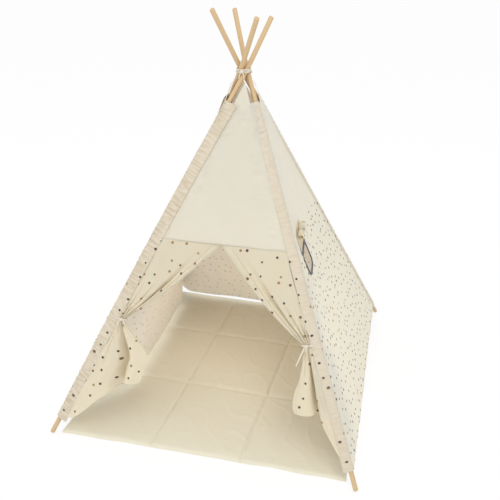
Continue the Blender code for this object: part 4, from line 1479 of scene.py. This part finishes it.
class TEEPEE_OT_poles(bpy.types.Operator):
    """Pole halves with rounded ends; the upper ones spring apart a little above the lashing"""

    bl_idname = "teepee.poles"
    bl_label = "Poles"

    def execute(self, context):
        for corner in CORNERS:
            start = foot_start(corner)
            self.half(context, corner, "lower", start, start + LOWER_POLE_LENGTH, 6)
            self.half(context, corner, "upper", start + LOWER_POLE_LENGTH + 0.0003, start + POLE_LENGTH, 40)
            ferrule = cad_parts[f"ferrule_{corner}"]
            for held in ferrule.material_slots:
                held.material = finish_of("steel")
        return {"FINISHED"}

    def half(self, context, corner, which, low, high, cuts):
        timber = context.scene.teepee_timber
        length = high - low
        deselect()
        bpy.ops.mesh.primitive_cylinder_add(
            vertices=40, radius=POLE_RADIUS, depth=length, location=(0, 0, length / 2)
        )
        piece = context.active_object
        piece.name = f"{which}_wood_{corner}"
        bpy.ops.object.transform_apply(location=True, rotation=True, scale=True)
        bpy.ops.object.mode_set(mode="EDIT")
        for cut in range(1, cuts):
            bpy.ops.mesh.select_all(action="SELECT")
            bpy.ops.mesh.bisect(plane_co=(0, 0, length * cut / cuts), plane_no=(0, 0, 1))
        bpy.ops.mesh.select_all(action="DESELECT")
        work = bmesh.from_edit_mesh(piece.data)
        for edge in work.edges:
            heights = [vertex.co.z for vertex in edge.verts]
            if abs(heights[0] - heights[1]) < 1e-6 and (max(heights) < 1e-6 or min(heights) > length - 1e-6):
                edge.select_set(True)
        bmesh.update_edit_mesh(piece.data)
        bpy.ops.mesh.bevel(offset=timber.end_rounding, segments=4, affect="EDGES")
        bpy.ops.object.mode_set(mode="OBJECT")
        pattern = piece.data.uv_layers.active
        pattern.name = "cut"
        seed = 0.13 * list(CORNERS).index(corner) + (0.07 if which == "upper" else 0.0)
        for face in piece.data.polygons:
            turns = []
            for index in face.loop_indices:
                spot = piece.data.vertices[piece.data.loops[index].vertex_index].co
                turns.append(math.atan2(spot.y, spot.x))
            wrap = max(turns) - min(turns) > math.pi
            for index, turn in zip(face.loop_indices, turns):
                spot = piece.data.vertices[piece.data.loops[index].vertex_index].co
                turn = turn + 2 * math.pi if wrap and turn < 0 else turn
                pattern.data[index].uv = (turn * POLE_RADIUS + seed, spot.z + low)
        direction = pole_direction(corner)
        across = tangent(corner)
        side = direction.cross(across)
        for vertex in piece.data.vertices:
            middle = pole_point(corner, low + vertex.co.z)
            vertex.co = middle + across * vertex.co.x + side * vertex.co.y
        piece.data.materials.append(finish_of("pine"))
        bpy.ops.object.shade_smooth_by_angle(angle=math.radians(40))
        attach(piece, f"pole_{corner}")
        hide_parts(f"{which}_pole_{corner}")


CORD_RADIUS = 0.00225
CORD_TURNS = 3
CORD_PITCH = 0.0052
CORD_CORNER_POINTS = 5
CORD_GAP = 0.0003
LASHING_KNOT = (0.015, 0.013, 0.0125)
LASHING_KNOT_DEPTH = 0.0062
KNOT_END_RADIUS = 0.0018


def lashing_route():
    wrap = POLE_RADIUS / math.cos(LEAN) + CORD_GAP + CORD_RADIUS
    points = []
    for number in range(CORD_TURNS * 4 * CORD_CORNER_POINTS + 1):
        level = (number / (4 * CORD_CORNER_POINTS) - CORD_TURNS / 2) * CORD_PITCH
        quarter, step = divmod(number, CORD_CORNER_POINTS)
        corner = ("front_right", "back_right", "back_left", "front_left")[quarter % 4]
        out = math.hypot(CROSSING_OFFSET, (abs(level) + CORD_RADIUS) * math.tan(LEAN))
        heading = math.atan2(tangent(corner).y, tangent(corner).x) + math.atan2(
            level * math.tan(LEAN), CROSSING_OFFSET
        )
        angle = heading + (step / (CORD_CORNER_POINTS - 1) - 0.5) * math.pi / 2
        spot = Vector((math.cos(heading), math.sin(heading), 0)) * out
        spot += Vector((math.cos(angle), math.sin(angle), 0)) * wrap
        points.append(Vector((*CROWN_DRIFT, CROSSING_HEIGHT + level)) + spot)
    return points


class TEEPEE_OT_lashing(bpy.types.Operator):
    """Cord wound round the crossing and its knot"""

    bl_idname = "teepee.lashing"
    bl_label = "Crown Lashing"

    def execute(self, context):
        cord = finish_of("cord")
        route = lashing_route()
        wound = twisted_cord("crown_cord", route, CORD_RADIUS, cord)
        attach(wound, "crown")
        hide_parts("crown_lashing")
        before = (CORD_TURNS // 2) * 4 * CORD_CORNER_POINTS + 3 * CORD_CORNER_POINTS - 1
        seat = (route[before] + route[before + 1]) / 2
        seat.y -= CORD_RADIUS + CORD_GAP + LASHING_KNOT_DEPTH
        parts = [knot_ball("knot", seat, LASHING_KNOT, Vector((0, -1, 0)), cord)]
        for side, length in ((-1, 0.024), (1, 0.030)):
            course = (
                (0.002, -0.001, -0.002), (0.006, -0.004, -0.008),
                (0.0085, -0.0042, -length * 0.6), (0.010, -0.004, -length),
            )
            points = [seat + Vector((side * x, y, z)) for x, y, z in course]
            parts.append(twisted_cord(f"end_{side}", points, KNOT_END_RADIUS, cord, 10))
        knot = join_pieces("crown_cord_knot", parts)
        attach(knot, "crown")
        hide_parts("crown_knot")
        return {"FINISHED"}


# Floor mat

MAT_HALF = (0.560, 0.554)
MAT_SHIFT = -0.022
MAT_SEAMS_X = (-0.180, 0.180)
MAT_SEAMS_Y = (-0.165, 0.215)
MAT_SEAM_LEAN = 0.060
MAT_FRONT_SKEW = 0.013
MAT_RIM = 0.0056


class TEEPEE_OT_mat(bpy.types.Operator):
    """Quilted floor mat: thin wadding between two cloths, stitched in squares"""

    bl_idname = "teepee.mat"
    bl_label = "Floor Mat"

    def execute(self, context):
        settings = context.scene.teepee_mat
        crown = settings.crown
        cells = settings.cells
        mesh = bpy.data.meshes.new("quilted_mat")
        work = bmesh.new()
        bmesh.ops.create_grid(work, x_segments=cells, y_segments=cells, size=1)
        pattern = work.loops.layers.uv.new("cut")
        for face in work.faces:
            for corner in face.loops:
                corner[pattern].uv = (corner.vert.co.x * MAT_HALF[0], corner.vert.co.y * MAT_HALF[1])
        border = [edge for edge in work.edges if edge.is_boundary]
        spots = {vertex: vertex.co.copy() for vertex in work.verts}
        for vertex, spot in spots.items():
            vertex.co = self.top(spot.x, spot.y, crown)
        rim = bmesh.ops.extrude_edge_only(work, edges=border)["geom"]
        low = [item for item in rim if isinstance(item, bmesh.types.BMVert)]
        for vertex in low:
            vertex.co.z = 0.0004
        edges = [item for item in rim if isinstance(item, bmesh.types.BMEdge) and item.is_boundary]
        bmesh.ops.holes_fill(work, edges=edges, sides=0)
        bmesh.ops.recalc_face_normals(work, faces=work.faces)
        work.to_mesh(mesh)
        work.free()
        piece = link_mesh("quilted_mat", mesh, [finish_of("mat")])
        make_active(piece)
        bpy.ops.object.shade_smooth_by_angle(angle=math.radians(60))
        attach(piece, "floor_mat")
        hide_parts("floor_mat")
        return {"FINISHED"}

    def top(self, u, v, crown):
        """Upper face of the mat at u, v from -1 to 1."""
        x, y = u * MAT_HALF[0], v * MAT_HALF[1]
        leaning = x - MAT_SEAM_LEAN * (y + MAT_HALF[1] / 2)
        off_x = min(abs(leaning - s) for s in MAT_SEAMS_X)
        off_y = min(abs(y - s) for s in MAT_SEAMS_Y)
        seam = min(off_x, off_y)
        rim = min(MAT_HALF[0] - abs(x), MAT_HALF[1] - abs(y))
        fill = ramp(seam / 0.016) ** 0.5 * ramp(rim / 0.012) ** 0.6
        height = mix(MAT_RIM, crown, fill)
        height -= 0.0014 * bell(seam, 0, 0.0035) * ramp(rim / 0.012)
        # Puckers run out square from the stitching
        along = y if off_x < off_y else x
        pucker = math.sin(along * 150 + 6 * ripple(along * 12, seam * 3, 8.0)) * bell(seam, 0.012, 0.010)
        height += 0.0005 * pucker * ramp(rim / 0.03)
        height += 0.0016 * ripple(x * 5.0, y * 5.0, 13.0) * ramp(rim / 0.05)
        # Soft creases of a folded cloth, slanting across the pads
        slant = ripple(x * 9.0 + y * 5.0, y * 7.0 - x * 2.0, 17.0)
        height += 0.0016 * bell(slant, 0.15, 0.16) * ramp(rim / 0.03)
        height = min(height, crown + 0.003)
        # The edge wanders a little between its corners
        bow_x = (0.0035 * (1 - v ** 4) + 0.0018 * ripple(y * 9, 0, 3.0) * (1 - v ** 8)) * abs(u) ** 6
        bow_y = (0.0035 * (1 - u ** 4) + 0.0026 * ripple(x * 9, 2, 5.0) * (1 - u ** 8)) * abs(v) ** 6
        skew = MAT_FRONT_SKEW * u * ramp(-v)
        return Vector((
            x - math.copysign(bow_x, x),
            y - math.copysign(bow_y, y) + skew + MAT_SHIFT,
            max(height, 0.0036),
        ))


# Stage

# The photograph's camera, as fitted to the poles
EYE = (0.57223, -2.21710, 1.80987)
AIM = (0.0583, 0.0, 0.6019)
ROLL_DEGREES = 0.758
LENS_MM = 44.90
SENSOR_MM = 36
VIEW_DEPTH = 60
FLOOR_SIZE = 40
FLOOR_WHITE = 0.93
FLOOR_GLOW = 1.04
FLOOR_GLOW_SHARE = 0.75
# Lamps: place, aim, size of the disc and colour
LAMPS = {
    "key_lamp": ((1.5, -2.7, 4.0), (0.0, 0.0, 0.4), 2.4, (1.0, 0.985, 0.96)),
    "fill_lamp": ((-2.4, -2.7, 2.8), (0.0, 0.0, 0.4), 2.4, (0.97, 0.985, 1.0)),
    # Stands for the glow of the cloth on the mat, which the renderer leaves out
    "glow_lamp": ((0.0, 0.03, 0.54), (0.0, 0.03, 0.0), 0.44, (1.0, 0.90, 0.74)),
}


def shown_to_camera(tree):
    """1 for a ray from the camera, a reflection or a see-through surface, else 0."""
    rays = tree.nodes.new("ShaderNodeLightPath")
    seen = math_node(tree, "MAXIMUM", rays.outputs["Is Camera Ray"], rays.outputs["Is Glossy Ray"])
    return math_node(tree, "MAXIMUM", seen, rays.outputs["Is Transmission Ray"])


class TEEPEE_OT_stage(bpy.types.Operator):
    """White studio floor, soft lamps and the camera"""

    bl_idname = "teepee.stage"
    bl_label = "Studio"

    def execute(self, context):
        settings = context.scene.teepee_stage
        scene = context.scene
        scene.view_settings.view_transform = "Standard"
        self.camera(scene)
        self.floor(context)
        self.world(scene, settings.sky)
        for name, power in zip(LAMPS, (settings.key, settings.fill, settings.glow)):
            self.lamp(name, power, *LAMPS[name])
        return {"FINISHED"}

    def camera(self, scene):
        data = bpy.data.cameras.new("camera")
        data.sensor_width = SENSOR_MM
        data.lens = LENS_MM
        data.clip_end = VIEW_DEPTH
        camera = bpy.data.objects.new("camera", data)
        scene.collection.objects.link(camera)
        eye = Vector(EYE)
        ahead = (Vector(AIM) - eye).normalized()
        right = ahead.cross(Vector((0, 0, 1))).normalized()
        up = right.cross(ahead)
        roll = math.radians(ROLL_DEGREES)
        level = right * math.cos(roll) + up * math.sin(roll)
        upright = up * math.cos(roll) - right * math.sin(roll)
        turn = Matrix((level, upright, -ahead)).transposed().to_4x4()
        camera.matrix_world = Matrix.Translation(eye) @ turn
        scene.camera = camera

    def floor(self, context):
        deselect()
        bpy.ops.mesh.primitive_plane_add(size=FLOOR_SIZE, location=(0, 0, 0))
        floor = context.active_object
        floor.name = "studio_floor"
        material = bpy.data.materials.new("studio_white")
        material.use_nodes = True
        tree = material.node_tree
        shader = tree.nodes["Principled BSDF"]
        shader.inputs["Base Color"].default_value = (FLOOR_WHITE, FLOOR_WHITE, FLOOR_WHITE, 1)
        shader.inputs["Roughness"].default_value = 0.9
        shader.inputs["Specular IOR Level"].default_value = 0.1
        glow = tree.nodes.new("ShaderNodeEmission")
        glow.inputs["Strength"].default_value = FLOOR_GLOW
        blend = tree.nodes.new("ShaderNodeMixShader")
        tree.links.new(math_node(tree, "MULTIPLY", shown_to_camera(tree), FLOOR_GLOW_SHARE), blend.inputs[0])
        tree.links.new(shader.outputs[0], blend.inputs[1])
        tree.links.new(glow.outputs[0], blend.inputs[2])
        tree.links.new(blend.outputs[0], tree.nodes["Material Output"].inputs["Surface"])
        floor.data.materials.append(material)

    def world(self, scene, strength):
        world = bpy.data.worlds.new("studio")
        world.use_nodes = True
        scene.world = world
        tree = world.node_tree
        sky = tree.nodes["Background"]
        sky.inputs["Color"].default_value = (1, 1, 1, 1)
        seen = shown_to_camera(tree)
        tree.links.new(
            math_node(tree, "MULTIPLY_ADD", seen, 1.0 - strength, strength), sky.inputs["Strength"]
        )

    def lamp(self, name, power, place, target, size, colour):
        data = bpy.data.lights.new(name, "AREA")
        data.shape = "DISK"
        data.size = size
        data.energy = power
        data.color = colour
        lamp = bpy.data.objects.new(name, data)
        bpy.context.scene.collection.objects.link(lamp)
        lamp.location = place
        lamp.rotation_euler = (Vector(target) - Vector(place)).to_track_quat("-Z", "Y").to_euler()
        lamp.visible_camera = False


# Add-on parts

PIECES = (
    TEEPEE_OT_poles, TEEPEE_OT_lashing, TEEPEE_OT_sleeves, TEEPEE_OT_front_panel, TEEPEE_OT_side_walls,
    TEEPEE_OT_window_wall, TEEPEE_OT_window_trim, TEEPEE_OT_curtain, TEEPEE_OT_door, TEEPEE_OT_ties,
    TEEPEE_OT_mat, TEEPEE_OT_stage,
)
SETTINGS = {
    "teepee_cloth": TeepeeCloth,
    "teepee_timber": TeepeeTimber,
    "teepee_mat": TeepeeMat,
    "teepee_stage": TeepeeStage,
}


class TEEPEE_PT_panel(bpy.types.Panel):
    """Sizes, colours and pieces of the teepee"""

    bl_label = "Play Teepee"
    bl_idname = "TEEPEE_PT_panel"
    bl_space_type = "VIEW_3D"
    bl_region_type = "UI"
    bl_category = "Teepee"

    def draw(self, context):
        layout = self.layout
        for name in SETTINGS:
            group = getattr(context.scene, name)
            box = layout.box()
            for prop in group.bl_rna.properties:
                if prop.identifier not in ("rna_type", "name"):
                    box.prop(group, prop.identifier)
        for piece in PIECES:
            layout.operator(piece.bl_idname)


def register():
    for kind in (*SETTINGS.values(), *PIECES, TEEPEE_PT_panel):
        bpy.utils.register_class(kind)
    for name, kind in SETTINGS.items():
        setattr(bpy.types.Scene, name, PointerProperty(type=kind))


def unregister():
    for name in SETTINGS:
        delattr(bpy.types.Scene, name)
    for kind in reversed((*SETTINGS.values(), *PIECES, TEEPEE_PT_panel)):
        bpy.utils.unregister_class(kind)


def main():
    register()
    for piece in PIECES:
        group, action = piece.bl_idname.split(".")
        getattr(getattr(bpy.ops, group), action)()


if __name__ == "__main__":
    main()
